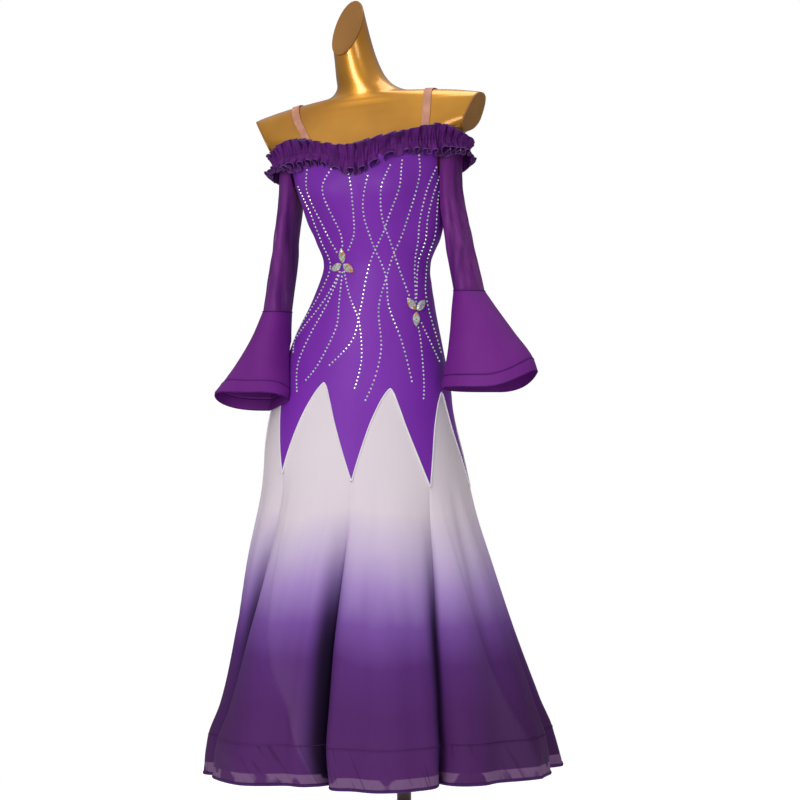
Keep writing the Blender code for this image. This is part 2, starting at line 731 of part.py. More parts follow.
def build_stand(collection, steel):
    bpy.ops.mesh.primitive_cylinder_add(
        vertices=48, radius=BASE_RADIUS, depth=BASE_THICKNESS, location=(0.0, 0.0, BASE_THICKNESS / 2)
    )
    base = bpy.context.object
    base.name = "base_plate"
    bevel = base.modifiers.new("edge", "BEVEL")
    bevel.width = BASE_BEVEL
    bevel.segments = 1
    bevel.limit_method = "ANGLE"

    socket_top = FORM_FOOT_HEIGHT - SEAM_GAP
    bpy.ops.mesh.primitive_cylinder_add(
        vertices=32,
        radius=SOCKET_RADIUS,
        depth=SOCKET_THICKNESS,
        location=(0.0, 0.0, socket_top - SOCKET_THICKNESS / 2),
    )
    socket = bpy.context.object
    socket.name = "pole_socket"

    pole_bottom = BASE_THICKNESS + SEAM_GAP
    pole_top = socket_top - SOCKET_THICKNESS - SEAM_GAP
    bpy.ops.mesh.primitive_cylinder_add(
        vertices=32,
        radius=POLE_RADIUS,
        depth=pole_top - pole_bottom,
        location=(0.0, 0.0, (pole_top + pole_bottom) / 2),
    )
    pole = bpy.context.object
    pole.name = "pole"
    for obj in (base, socket, pole):
        obj.data.materials.append(steel)
        for owner in list(obj.users_collection):
            owner.objects.unlink(obj)
        collection.objects.link(obj)


def build_stone_flower(flower, tree, collection, crystal):
    """Three pointed oval stones in one setting, following the curve of the bodice."""
    middle = body_point(DRESS_ROWS, flower.turn, flower.height)
    side = (body_point(DRESS_ROWS, flower.turn + 2.0, flower.height) - middle).normalized()
    rise = body_point(DRESS_ROWS, flower.turn, flower.height + 0.01) - middle
    out = side.cross(rise).normalized()
    rise = out.cross(side)

    def seated(place, lift):
        seat, normal, _, _ = tree.find_nearest(middle + place + out * STONE_GAP)
        return seat + normal * (STONE_GAP + lift * STONE_THICKNESS)

    top, girdle, foot, hearts = [], [], [], []
    for stone_angle in sorted(flower.stone_angles):
        axis = math.radians(stone_angle)
        heart = side * math.cos(axis) * STONE_MIDDLE + rise * math.sin(axis) * STONE_MIDDLE
        hearts.append(heart)
        for corner in STONE_OUTLINE:
            turn = axis + math.radians(corner.off_axis)
            spot = (side * math.cos(turn) + rise * math.sin(turn)) * corner.reach
            table = heart.lerp(spot, STONE_TABLE) if abs(corner.off_axis) < 60.0 else spot * 0.6
            top.append(seated(table, 1.0))
            girdle.append(seated(spot, GIRDLE_SHARE))
            foot.append(seated(spot * 0.92, 0.0))
    shape = closed_loft([top, girdle, foot])
    ends = [face for face in shape.faces if len(face.verts) == len(top)]
    bmesh.ops.delete(shape, geom=ends, context="FACES_ONLY")
    shape.verts.ensure_lookup_table()
    corners = len(STONE_OUTLINE)
    for rim, lift in ((shape.verts[: len(top)], 1.0), (shape.verts[-len(foot) :], 0.0)):
        shape.faces.new(rim[::corners])
        for k, heart in enumerate(hearts):
            edge = [rim[(corners * k + c) % len(rim)] for c in range(corners + 1)]
            centre = shape.verts.new(seated(heart, lift))
            for one, other in zip(edge, edge[1:] + edge[:1]):
                shape.faces.new((centre, one, other))
    bmesh.ops.recalc_face_normals(shape, faces=shape.faces)
    bmesh.ops.triangulate(shape, faces=shape.faces)
    return object_from(shape, f"stone_flower_{flower.name}", collection, crystal, smooth=False)


def finish(name, colour, roughness, metallic=0.0):
    material = bpy.data.materials.new(name)
    material.use_nodes = True
    shader = material.node_tree.nodes["Principled BSDF"]
    shader.inputs["Base Color"].default_value = (*colour, 1.0)
    shader.inputs["Roughness"].default_value = roughness
    shader.inputs["Metallic"].default_value = metallic
    return material


def main():
    for obj in list(bpy.data.objects):
        bpy.data.objects.remove(obj)
    dress = bpy.data.collections.new("ballroom_dress_on_form")
    bpy.context.scene.collection.children.link(dress)

    violet_jersey = finish("violet_jersey", (0.22, 0.03, 0.42), 0.55)
    dyed_chiffon = finish("dyed_chiffon", (0.72, 0.63, 0.74), 0.65)
    band_chiffon = finish("band_chiffon", (0.07, 0.02, 0.11), 0.65)
    violet_net = finish("violet_net", (0.16, 0.02, 0.26), 0.6)
    bell_crepe = finish("bell_crepe", (0.19, 0.02, 0.32), 0.6)
    ruffle_chiffon = finish("ruffle_chiffon", (0.11, 0.01, 0.22), 0.6)
    elastic = finish("skin_elastic", (0.62, 0.28, 0.18), 0.6)
    gold = finish("gold_lacquer", (0.60, 0.34, 0.07), 0.28, 0.6)
    cap_plastic = finish("gold_cap", (0.32, 0.17, 0.06), 0.5, 0.3)
    steel = finish("dark_steel", (0.12, 0.09, 0.08), 0.35, 0.9)
    crystal = finish("crystal", (0.75, 0.8, 0.78), 0.08)

    bodice = bodice_panel("bodice_front", FIRST_POINT_TURN - 90.0, dress, violet_jersey)
    bodice_panel("bodice_back", FIRST_POINT_TURN + 90.0, dress, violet_jersey)
    for gore in range(GORES):
        skirt_gore(gore, dress, dyed_chiffon)
    build_hem_band(dress, band_chiffon)
    for side in ("left", "right"):
        build_sleeve(side, dress, violet_net, bell_crepe)
    build_ruffle(dress, ruffle_chiffon)
    form = build_form(dress, gold, cap_plastic)
    build_straps(form, dress, elastic)
    build_stand(dress, steel)
    for flower in FLOWERS:
        build_stone_flower(flower, tree_of(bodice), dress, crystal)


main()
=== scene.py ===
"""Looks of the ballroom dance dress on its limbless dress form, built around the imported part.

Metres, +Z up.  The dress faces -Y and the wearer's left hand side is at +X.  A place on the cloth is
given by its height and by its turn round the body in degrees: 0 is the centre front, 90 the wearer's
left, 180 the centre back and -90 the wearer's right.
"""

import math
from bisect import bisect_right
from collections import namedtuple

import bmesh
import bpy
from mathutils import Matrix, Vector, noise
from mathutils.bvhtree import BVHTree


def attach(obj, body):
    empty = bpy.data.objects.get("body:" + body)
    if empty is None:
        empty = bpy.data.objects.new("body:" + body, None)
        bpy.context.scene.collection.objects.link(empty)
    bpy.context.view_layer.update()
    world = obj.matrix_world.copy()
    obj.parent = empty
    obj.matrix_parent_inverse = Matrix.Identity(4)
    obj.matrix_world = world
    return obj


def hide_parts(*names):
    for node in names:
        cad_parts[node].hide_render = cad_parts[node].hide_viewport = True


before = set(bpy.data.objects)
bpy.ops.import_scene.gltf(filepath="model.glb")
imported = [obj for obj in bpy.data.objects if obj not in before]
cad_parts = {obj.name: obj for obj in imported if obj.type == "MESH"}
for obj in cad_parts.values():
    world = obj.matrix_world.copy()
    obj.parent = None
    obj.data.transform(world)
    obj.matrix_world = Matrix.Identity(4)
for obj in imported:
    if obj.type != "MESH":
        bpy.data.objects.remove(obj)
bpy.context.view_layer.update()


def table(kind, *rows):
    """Rows of plain values, given the names of their kind."""
    return tuple(kind(*row) for row in rows)


# Cloth and clearances
CLOTH_WALL = 0.0008
SEAM_GAP = 0.0003
EASE = 0.0056  # from the form's skin to the bodice
SLEEVE_CLEARANCE = 0.0035

# Stations of the body and of the skirt's outer limit.  Roll tips a station's left side up, in degrees.
Station = namedtuple("Station", "height centre_x centre_y roll half_width front back")
SKIRT_ROWS = table(
    Station,
    (0.125, -0.0415, -0.015, 1.6, 0.363, 0.325, 0.330),
    (0.195, -0.0448, -0.016, 1.3, 0.348, 0.311, 0.316),
    (0.255, -0.0440, -0.018, 1.0, 0.322, 0.294, 0.300),
    (0.411, -0.0530, -0.020, -0.5, 0.274, 0.248, 0.256),
    (0.528, -0.0600, -0.022, -2.5, 0.243, 0.214, 0.224),
    (0.645, -0.0655, -0.024, -4.6, 0.212, 0.182, 0.193),
    (0.743, -0.0730, -0.025, -5.2, 0.195, 0.157, 0.169),
    (0.801, -0.0755, -0.025, -5.2, 0.183, 0.139, 0.153),
    (0.840, -0.0740, -0.025, -5.1, 0.175, 0.127, 0.144),
)
LEG_ROWS = table(
    Station,
    (0.560, -0.0700, -0.020, 0.0, 0.118, 0.082, 0.090),
    (0.640, -0.0710, -0.022, -5.0, 0.141, 0.098, 0.108),
    (0.720, -0.0720, -0.024, -5.0, 0.160, 0.110, 0.125),
    (0.800, -0.0745, -0.025, -5.1, 0.172, 0.119, 0.137),
    (0.840, -0.0750, -0.025, -5.1, 0.1735, 0.121, 0.140),
)
BODY_ROWS = table(
    Station,
    (0.868, -0.0710, -0.025, -5.0, 0.1695, 0.119, 0.137),
    (0.951, -0.0645, -0.027, -4.0, 0.147, 0.106, 0.118),
    (1.035, -0.0530, -0.029, -2.0, 0.119, 0.089, 0.094),
    (1.100, -0.0462, -0.030, 0.0, 0.105, 0.077, 0.080),
    (1.152, -0.0435, -0.030, 1.5, 0.124, 0.085, 0.084),
    (1.190, -0.0485, -0.030, 2.5, 0.136, 0.093, 0.089),
    (1.230, -0.0552, -0.029, 3.5, 0.142, 0.100, 0.093),
    (1.260, -0.0599, -0.028, 4.0, 0.148, 0.102, 0.095),
    (1.300, -0.0631, -0.024, 4.5, 0.158, 0.100, 0.094),
    (1.320, -0.0640, -0.021, 4.9, 0.171, 0.094, 0.091),
    (1.335, -0.0648, -0.018, 5.2, 0.192, 0.089, 0.087),
)
NECK_ROWS = table(
    Station,
    (1.350, -0.0660, -0.015, 5.4, 0.222, 0.083, 0.083),
    (1.365, -0.0670, -0.012, 5.4, 0.244, 0.076, 0.077),
    (1.392, -0.0680, -0.008, 5.4, 0.256, 0.064, 0.068),
    (1.404, -0.0685, -0.007, 5.4, 0.250, 0.060, 0.065),
    (1.411, -0.0690, -0.006, 5.4, 0.236, 0.058, 0.063),
    (1.418, -0.0695, -0.006, 5.4, 0.207, 0.056, 0.061),
    (1.4245, -0.0700, -0.005, 5.4, 0.172, 0.055, 0.059),
    (1.429, -0.0705, -0.005, 5.4, 0.135, 0.054, 0.058),
    (1.4345, -0.0715, -0.005, 5.4, 0.087, 0.053, 0.056),
    (1.444, -0.0755, -0.005, 5.4, 0.068, 0.052, 0.054),
    (1.455, -0.0805, -0.005, 5.4, 0.058, 0.051, 0.053),
    (1.470, -0.0870, -0.006, 5.4, 0.053, 0.050, 0.051),
    (1.510, -0.0970, -0.010, 5.4, 0.046, 0.046, 0.047),
    (1.560, -0.1060, -0.016, 5.4, 0.042, 0.043, 0.044),
    (1.600, -0.1135, -0.020, 5.4, 0.0405, 0.042, 0.043),
    (1.660, -0.1280, -0.026, 5.4, 0.040, 0.041, 0.042),
)


class Profile:
    """Stations one above the other, with a smooth line through each of their columns."""

    def __init__(self, rows):
        self.rows = sorted(rows)
        self.heights = [row.height for row in self.rows]
        self.kind = type(rows[0])
        self.columns = [[row[c] for row in self.rows] for c in range(1, len(rows[0]))]
        self.slopes = [self.slopes_of(values) for values in self.columns]

    def slopes_of(self, values):
        """Slopes that never swing the line past its values."""
        rises = [b - a for a, b in zip(values, values[1:])]
        spans = [b - a for a, b in zip(self.heights, self.heights[1:])]
        steps = [rise / span for rise, span in zip(rises, spans)]
        inner = [0.0 if a * b <= 0 else 2 * a * b / (a + b) for a, b in zip(steps, steps[1:])]
        return [steps[0], *inner, steps[-1]]

    def at(self, height):
        height = min(max(height, self.heights[0]), self.heights[-1])
        n = min(bisect_right(self.heights, height), len(self.heights) - 1) - 1
        span = self.heights[n + 1] - self.heights[n]
        t = (height - self.heights[n]) / span
        found = [height]
        for values, slope in zip(self.columns, self.slopes):
            found.append(
                values[n] * (1 + 2 * t) * (1 - t) ** 2
                + values[n + 1] * t * t * (3 - 2 * t)
                + slope[n] * span * t * (1 - t) ** 2
                - slope[n + 1] * span * t * t * (1 - t)
            )
        return self.kind(*found)


DRESS = Profile(SKIRT_ROWS + BODY_ROWS + NECK_ROWS)
FORM = Profile(LEG_ROWS + BODY_ROWS + NECK_ROWS)

WAIST_HEIGHT = 1.100
PULL_SPREAD = 0.055  # up and down, of the jersey's pulls at the waist
PULL_DEPTH = 0.0011

# Bust cups, raised on the stations
CUP_TURN = 27.0
CUP_HEIGHT = 1.238
CUP_RAISE = 0.015
CUP_SPREAD_TURN = 19.0
CUP_SPREAD_HEIGHT = 0.042

# Neckline of the bodice
NECKLINE_HEIGHT = 1.326
NECKLINE_DIP = 0.026
NECKLINE_DIP_TURN = 20.0
BACK_NECKLINE_DROP = 0.050
ARMHOLE_START_TURN = 60.0
ARMPIT_HEIGHT = 1.215

# Points of the bodice and peaks of the skirt's gores, along the seam between them
GORES = 8
SECTOR = 360.0 / GORES
FIRST_POINT_TURN = 6.0  # the point beside the centre front
PEAK_HEIGHT = 0.869
POINT_HEIGHT = 0.688
PEAK_CURVE = 1.4  # 1 is a straight-sided point, more is a rounder peak

# Folds of the skirt.  One valley falls from each point of the bodice.
HEM_HEIGHT = 0.125
BAND_DEPTH = 0.074
BAND_SEAM_HEIGHT = HEM_HEIGHT + BAND_DEPTH
BAND_CREASE = 0.0012
FOLD_START_HEIGHT = 0.705
FOLD_GROWTH = 0.95
VALLEY_SQUEEZE = 0.72  # how much the valleys narrow towards the hem
CREST_ROUNDNESS = 0.62
TUCKED_ROUNDNESS = 0.85  # of a gore's second half, which tucks in behind the next gore
VALLEY_TURN_GROWTH = 1.3
VALLEY_SWING_GROWTH = 1.5
# One valley to each point, counted to the left: how far it has turned at the hem, how much further it
# swings on its way down, and its depth at the hem
Valley = namedtuple("Valley", "shift swing depth")
VALLEYS = table(
    Valley,
    (-11.0, -6.5, 0.105),
    (-15.0, 0.0, 0.085),
    (-2.0, 8.0, 0.080),
    (-1.5, 2.0, 0.095),
    (-8.5, 0.0, 0.105),
    (-5.0, 0.0, 0.090),
    (-15.0, -5.0, 0.085),
    (-25.0, -9.0, 0.090),
)
# The soft fold inside each gore: where it lies across the gore, from 0 to 1, its width and its depth.
# The hem of the gore hangs lower by its drop.
SoftFold = namedtuple("SoftFold", "place width depth drop")
SOFT_FOLDS = table(
    SoftFold,
    (0.34, 0.10, 0.012, 0.003),
    (0.42, 0.09, 0.030, 0.002),
    (0.55, 0.11, 0.022, 0.001),
    (0.46, 0.10, 0.026, 0.002),
    (0.58, 0.09, 0.024, 0.003),
    (0.40, 0.10, 0.028, 0.001),
    (0.52, 0.10, 0.022, 0.002),
    (0.66, 0.08, 0.028, -0.003),
)

# Soft pleats with one crisp edge: its place across the gore at mid-height, how that moves on the way
# down, the side that is raised and how far the pleat takes to fade out
Pleat = namedtuple("Pleat", "share slant side fade")
PLEATS = {
    1: Pleat(0.37, 0.75, -1.0, 0.26),
    6: Pleat(0.46, 0.60, 1.0, 0.25),
    7: Pleat(0.50, 1.30, 1.0, 0.34),
}
PLEAT_DEPTH = 0.0060
PLEAT_EDGE = 0.024  # across the gore, from the crisp edge's foot to its top
PLEAT_MIDDLE_HEIGHT = 0.40
BROAD_DRAPE = 0.0062
FINE_DRAPE = 0.0026

# Painted shade where a gore darkens into a fold: from a share of its width on, less along its first edge, and
# only where the folds have grown
SHADE_START = 0.73
SHADE_WIDTH = 0.19
SHADE_FIRST = 0.05
SHADE_FIRST_DEPTH = 0.6
SHADE_GROWTH_START = 0.10
SHADE_GROWTH_WIDTH = 0.50

# Sleeves.  Their stations are ovals; height and centre are of the station, before the body's roll.
ArmStation = namedtuple("ArmStation", "height centre_x centre_y half_x half_y")
SLEEVE_ROWS = {
    "right": table(
        ArmStation,
        (1.288, -0.2220, -0.015, 0.024, 0.046),
        (1.230, -0.2270, -0.016, 0.021, 0.047),
        (1.166, -0.2340, -0.021, 0.0195, 0.048),
        (1.100, -0.2380, -0.030, 0.0235, 0.048),
        (1.012, -0.2425, -0.050, 0.0255, 0.046),
    ),
    "left": table(
        ArmStation,
        (1.318, 0.0935, -0.014, 0.0245, 0.046),
        (1.250, 0.0983, -0.015, 0.021, 0.047),
        (1.178, 0.1110, -0.021, 0.0225, 0.048),
        (1.113, 0.1255, -0.030, 0.0265, 0.048),
        (1.049, 0.1410, -0.040, 0.0285, 0.046),
    ),
}
BELL_ROWS = {
    "right": table(
        ArmStation,
        (1.012, -0.2425, -0.050, 0.0260, 0.0465),
        (0.965, -0.2483, -0.068, 0.036, 0.051),
        (0.918, -0.2551, -0.088, 0.051, 0.056),
        (0.879, -0.2628, -0.105, 0.066, 0.060),
        (0.855, -0.2690, -0.117, 0.076, 0.063),
    ),
    "left": table(
        ArmStation,
        (1.049, 0.1410, -0.040, 0.0290, 0.0465),
        (1.016, 0.1535, -0.050, 0.0425, 0.051),
        (0.969, 0.1720, -0.062, 0.0616, 0.057),
        (0.916, 0.1905, -0.075, 0.0840, 0.063),
        (0.865, 0.1960, -0.086, 0.0955, 0.068),
    ),
}
CUFF_BAND_DEPTH = 0.023
CUFF_BACK_DROP = {"right": 0.036, "left": 0.010}
CUFF_OUTER_RISE = {"right": 0.006, "left": 0.036}
ARMPIT_DROP = 0.040  # how far the sleeve's top dips under the arm
SLEEVE_FOLDS = 3
SLEEVE_FOLD_DEPTH = 0.0035
SLEEVE_FOLD_PHASE = 0.6
NET_SLACK = 0.0012
BELL_FLUTE = 0.0022
CUFF_LIFT = 0.0004
OUTER_WAY = {"left": 1.0, "right": -1.0}

# Gathered ruffle round the neckline and over both sleeves
RUFFLE_WAVES = 54
RUFFLE_STAND_OFF = 0.0062
RUFFLE_SLEEVE_BULGE = 0.033
RUFFLE_SLEEVE_FLATTEN = 0.30  # how much lower the ruffle stands over a sleeve
RUFFLE_SLEEVE_TURN = 103.0
RUFFLE_SLEEVE_SPREAD_TURN = 30.0

# Elastic shoulder straps
STRAP_WIDTH = 0.015
STRAP_CENTRE_HEIGHT = 1.350
STRAP_FRONT_ANGLE = -32.0
STRAP_BACK_ANGLE = 206.0
STRAP_LIFT = 0.0026
RIBS = 6
RIB_DEPTH = 0.0002
# How far a strap lies from the form's middle, at its ends and at the top of the shoulder
StrapPlace = namedtuple("StrapPlace", "side ends top")
STRAP_PLACES = {"left": StrapPlace(1.0, 0.130, 0.133), "right": StrapPlace(-1.0, 0.105, 0.138)}

# Cut faces of the form: the arms and the neck
ARM_CUT_OFFSET = 0.202
ARM_CUT_HEIGHT = 1.352
ARM_CUT_TILT = 22.0
ARM_CUT_FORWARD = 0.20
NECK_CUT_POINT = Vector((-0.102, 0.010, 1.619))
NECK_CUT_NORMAL = Vector((-0.429, -0.784, 0.447))
CAP_THICKNESS = 0.003
CAP_EDGE = 0.0008

# Levels of the form's rings, from, to and steps: the closest where the shoulders turn into the neck
FORM_FOOT_HEIGHT = 0.560
FORM_LEVELS = ((1.660, 1.460, 26), (1.456, 1.300, 72), (1.294, FORM_FOOT_HEIGHT, 84))

# Stand
BASE_THICKNESS = 0.009
SOCKET_THICKNESS = 0.012
SOCKET_BOTTOM = FORM_FOOT_HEIGHT - SEAM_GAP - SOCKET_THICKNESS
StandPiece = namedtuple("StandPiece", "name node sides radius bottom top edge")
STAND = table(
    StandPiece,
    ("stand_base", "base_plate", 128, 0.190, 0.0, BASE_THICKNESS, 0.0022),
    ("stand_pole", "pole", 48, 0.014, BASE_THICKNESS + SEAM_GAP, SOCKET_BOTTOM - SEAM_GAP, 0.001),
    ("stand_socket", "pole_socket", 64, 0.034, SOCKET_BOTTOM, FORM_FOOT_HEIGHT - SEAM_GAP, 0.0015),
)

# Fine trims of the cloth
POINT_SEAM_GAP = 0.0008
PIPING_RADIUS = 0.0016
PIPING_LIFT = 0.0006
BINDING_RADIUS = 0.0030
BINDING_RISE = 0.0022
BINDING_SINK = 0.0004
SEAM_RADIUS = 0.0007
RUFFLE_RISE = 0.0245
RUFFLE_FALL = 0.0235
RUFFLE_LEAN = 0.0040
RUFFLE_FRILLS = 50
RUFFLE_LOOP = 0.0075
RUFFLE_LOOP_SHIFT = 0.0040
RUFFLE_LOOP_RISE = 0.0062
RUFFLE_WAVE_DEPTH = 0.0012
GATHER_DEPTH = 0.0013
STITCHING_RADIUS = 0.0004
STITCHING_LIFT = 0.0006
# The frill of each edge: where its waves start, how far it stands up, how much its waves rise and swing
Frill = namedtuple("Frill", "phase rise meander loop")
UPPER_FRILL = Frill(0.0, RUFFLE_RISE, -0.25 * RUFFLE_LOOP_RISE, 0.7)
LOWER_FRILL = Frill(2.4, -RUFFLE_FALL, RUFFLE_LOOP_RISE, 1.0)
OVERLOCK_RADIUS = 0.0008
BAND_TUCK_HEIGHT = 0.0030  # how far the band runs up behind the gores
BAND_TUCK_DEPTH = 0.0012

# Sizes that the pieces are cut to, width by length, and the areas of those that aren't rectangles
Cut = namedtuple("Cut", "width length area")
BODICE_CUTS = {"front": Cut(0.50, 0.68, 0.205), "back": Cut(0.50, 0.63, 0.194)}
GORE_CUTS = table(
    Cut,
    (0.342, 0.687, 0.136),
    (0.384, 0.679, 0.139),
    (0.308, 0.678, 0.116),
    (0.321, 0.688, 0.127),
    (0.359, 0.702, 0.139),
    (0.275, 0.710, 0.116),
    (0.276, 0.712, 0.114),
    (0.406, 0.707, 0.151),
)
BAND_CUT = Cut(2.91, 0.078, 0.221)
SLEEVE_CUT = Cut(0.25, 0.28, 0.061)
BELL_CUTS = {"left": Cut(0.493, 0.182, 0.063), "right": Cut(0.406, 0.181, 0.051)}
CUFF_CUTS = {"left": Cut(0.519, 0.024, 0.0118), "right": Cut(0.440, 0.026, 0.0104)}
RUFFLE_CUT = Cut(2.00, 0.050, 0.10)
STRAP_CUT = Cut(0.016, 0.33, 0.0052)

# Rhinestones
STONE_SPACING = 0.0073
STONE_RADIUS = 0.0020
STONE_HEIGHT = 0.0015
STONE_TAPER = 0.55
LINE_STEPS = 399  # in which each line is walked
# The curved lines of stones, each through places of (turn, height)
STONE_LINES = (
    ((-63, 1.262), (-53, 1.205), (-55, 1.150), (-48, 1.095)),
    ((-40, 1.298), (-44, 1.255), (-41, 1.190), (-40, 1.155), (-29, 1.103)),
    ((-16, 1.291), (-24, 1.255), (-25, 1.205), (-24, 1.150), (-28, 1.103)),
    ((-4, 1.271), (-4, 1.235), (-8, 1.178), (-14, 1.143), (-28, 1.103)),
    ((-48, 1.093), (-54, 1.040), (-65, 0.993), (-70, 0.960), (-58, 0.920)),
    ((-29, 1.100), (-37, 1.044), (-49, 0.998), (-64, 0.952)),
    ((-29, 1.100), (-33, 1.040), (-40, 0.966), (-45, 0.900), (-37, 0.845)),
    ((-28, 1.100), (-21, 1.030), (-16, 0.975), (-24, 0.905), (-32, 0.870)),
    ((-28, 1.100), (-11, 1.038), (3, 0.988), (8, 0.925), (5, 0.862)),
    ((10, 1.264), (2, 1.200), (5, 1.145), (22, 1.080), (27, 1.022), (39, 0.955), (45, 0.880)),
    ((26, 1.281), (18, 1.230), (18, 1.165), (36, 1.095), (54, 1.017)),
    ((35, 1.289), (32, 1.238), (18, 1.168), (4, 1.095), (2, 1.020), (0, 0.955), (-16, 0.900)),
    ((49, 1.297), (51, 1.255), (36, 1.170), (24, 1.080), (18, 1.020), (22, 0.940), (13, 0.841)),
    ((71, 1.275), (57, 1.220), (50, 1.165), (57, 1.100), (55, 1.017)),
    ((78, 1.258), (60, 1.185), (63, 1.115), (55, 1.017)),
    ((81, 1.244), (73, 1.185), (80, 1.100), (73, 1.040), (86, 0.941)),
    ((54, 1.012), (57, 0.960), (54, 0.854)),
    ((56, 1.012), (66, 0.972), (79, 0.923)),
)

# The two flowers of pointed oval stones
STONE_MIDDLE = 0.0165  # from the flower's middle to a stone's middle
STONE_THICKNESS = 0.0042
PETAL_LENGTH = 0.0295
PETAL_WIDTH = 0.0158
PETAL_LIFT = 0.0020
PETAL_POINT = 0.4  # 0 is an oval, 0.5 comes to a sharp point at both ends
PETAL_TAPER = 0.16
STONE_TABLE = 0.8  # how far up its dome a stone is cut flat
# No rhinestone sits within this half length and half width of a petal, or this near the flower's middle
KEEP_CLEAR_LENGTH = PETAL_LENGTH / 2 + 0.0030
KEEP_CLEAR_WIDTH = PETAL_WIDTH / 2 + 0.0026
HEART_RADIUS = 0.006
Flower = namedtuple("Flower", "name turn height stone_angles")
FLOWERS = (
    Flower("waist", -26.8, 1.101, (90, 203, 328)),
    Flower("hip", 55.2, 1.0145, (126, 44, 262)),
)

# Cloths in soft patches of two colours, with the size of a thread and the height of the weave
ClothLook = namedtuple("ClothLook", "name roughness thread relief sheen dark light patches")
PATCHED_CLOTHS = {
    "jersey": ("violet_jersey_cloth", 0.48, 0.0005, 0.10, 0.03, (0.205, 0.024, 0.43), (0.25, 0.034, 0.51), 9),
    "binding": ("hem_binding_cloth", 0.7, 0.0006, 0.1, 0.0, (0.034, 0.006, 0.070), (0.052, 0.009, 0.105), 30),
    "crepe": ("bell_crepe_cloth", 0.62, 0.0005, 0.12, 0.0, (0.165, 0.013, 0.235), (0.215, 0.022, 0.31), 10),
    "edging": ("edging_cloth", 0.6, 0.0006, 0.1, 0.0, (0.05, 0.006, 0.12), (0.09, 0.012, 0.19), 40),
    "ruffle": ("ruffle_chiffon_cloth", 0.6, 0.0005, 0.15, 0.03, (0.085, 0.008, 0.135), (0.18, 0.02, 0.26), 45),
    "overlock": ("overlock_thread", 0.55, 0.0012, 0.3, 0.0, (0.09, 0.040, 0.16), (0.17, 0.09, 0.27), 120),
    "piping": ("pale_piping_cloth", 0.6, 0.0008, 0.1, 0.0, (0.86, 0.82, 0.86), (0.95, 0.93, 0.95), 60),
    "elastic": ("skin_elastic_cloth", 0.6, 0.0009, 0.3, 0.1, (0.55, 0.25, 0.16), (0.72, 0.36, 0.25), 60),
}
SLUB = 0.3
BUMP_DEPTH = 0.0002
CHIFFON_FINISH = (0.75, 0.0004, 0.12)
NET_DARK = (0.11, 0.009, 0.165)
NET_LIGHT = (0.30, 0.038, 0.36)

# Finishes of the form and its stand
LacquerLook = namedtuple("LacquerLook", "name dark light metallic roughness coat")
LACQUERS = {
    "gold": ("gold_lacquer_coat", (0.58, 0.235, 0.014), (0.82, 0.37, 0.030), 0.68, 0.36, 1.0),
    "cap": ("brown_gold_cap", (0.36, 0.15, 0.025), (0.50, 0.23, 0.045), 0.4, 0.42, 0.2),
    "steel": ("dark_steel_satin", (0.05, 0.035, 0.03), (0.13, 0.10, 0.09), 0.8, 0.35, 0.0),
}

# Stones: the fineness of their cells of colour, the colours and a painted glow that stands in for their
# sparkle
StoneLook = namedtuple("StoneLook", "name cells tints glow")
RHINESTONE_TINTS = ((0.40, 0.68, 0.48), (0.96, 0.97, 0.94), (0.45, 0.70, 0.62), (0.90, 0.82, 0.50))
IRIDESCENT_TINTS = (
    (0.85, 0.32, 0.10),
    (0.42, 0.46, 0.26),
    (0.95, 0.90, 0.88),
    (0.18, 0.62, 0.48),
    (0.85, 0.42, 0.58),
)
STONES = {
    "crystal": ("rhinestone_foil", 75.0, RHINESTONE_TINTS, 0.24),
    "petal": ("iridescent_stone", 120.0, IRIDESCENT_TINTS, 0.12),
}

# The dip dye, by height, and the painted shade and highlight laid over it
DYE_TOP = 0.9
DYE_STOPS = (
    (0.12, (0.078, 0.014, 0.115)),
    (0.26, (0.084, 0.016, 0.135)),
    (0.35, (0.105, 0.024, 0.19)),
    (0.42, (0.20, 0.080, 0.37)),
    (0.49, (0.42, 0.27, 0.62)),
    (0.56, (0.66, 0.53, 0.76)),
    (0.63, (0.84, 0.73, 0.82)),
    (0.75, (0.88, 0.78, 0.84)),
)
DYE_SEEP = 0.075
# Painted shade low on the skirt's sides, which turn away from the lights
SIDE_SHADE = (0.028, 0.003, 0.042)
# Painted shade deep in the skirt's folds, from violet to near-black
FOLD_SHADE_STOPS = ((0.0, (0.080, 0.022, 0.17)), (0.45, (0.040, 0.012, 0.105)), (0.85, (0.008, 0.002, 0.020)))
# Painted highlight on the raised side of a pleat, where it catches the light
PLEAT_HIGHLIGHT = (0.50, 0.36, 0.55)
SINGLE_LAYER = (0.165, 0.080, 0.19)
# Painted shade along the foot band's slanted creases
CREASE_SHADE = (0.025, 0.004, 0.045)
CREASE_SLANT = 0.38

# Lights: name, place, what it points at, width and height, power
STUDIO_LIGHTS = (
    ("left_softbox", (-1.1, -4.0, 2.3), (-0.05, 0.0, 0.95), (1.5, 2.2), 70.0),
    ("right_softbox", (2.5, -3.9, 1.9), (-0.05, 0.0, 0.95), (1.1, 2.2), 27.0),
    ("top_softbox", (0.2, 0.4, 3.4), (-0.05, 0.0, 1.0), (1.8, 1.8), 20.0),
)

FLOOR_RADIUS = 1.1
FLOOR_GLOW = 0.62

# The camera, at the photo's angle
CAMERA_TURN = 16.0
CAMERA_DISTANCE = 5.1
CAMERA_SHIFT = -0.008
CAMERA_HEIGHT = 0.84
CAMERA_LENS = 118.0
CAMERA_SENSOR = 36.0


def mixed(a, b, share):
    return a + (b - a) * share


def wrapped(turn):
    """A turn brought between -180 and 180."""
    return (turn + 180.0) % 360.0 - 180.0


def bump(distance, spread):
    """1 at no distance, falling smoothly to 0."""
    return math.exp(-((distance / spread) ** 2))


def eased(share):
    """0 to 1 with level ends."""
    share = min(max(share, 0.0), 1.0)
    return share * share * (3 - 2 * share)


def cup_raise(turn, height):
    beside = bump(abs(wrapped(turn)) - CUP_TURN, CUP_SPREAD_TURN)
    return CUP_RAISE * beside * bump(height - CUP_HEIGHT, CUP_SPREAD_HEIGHT)


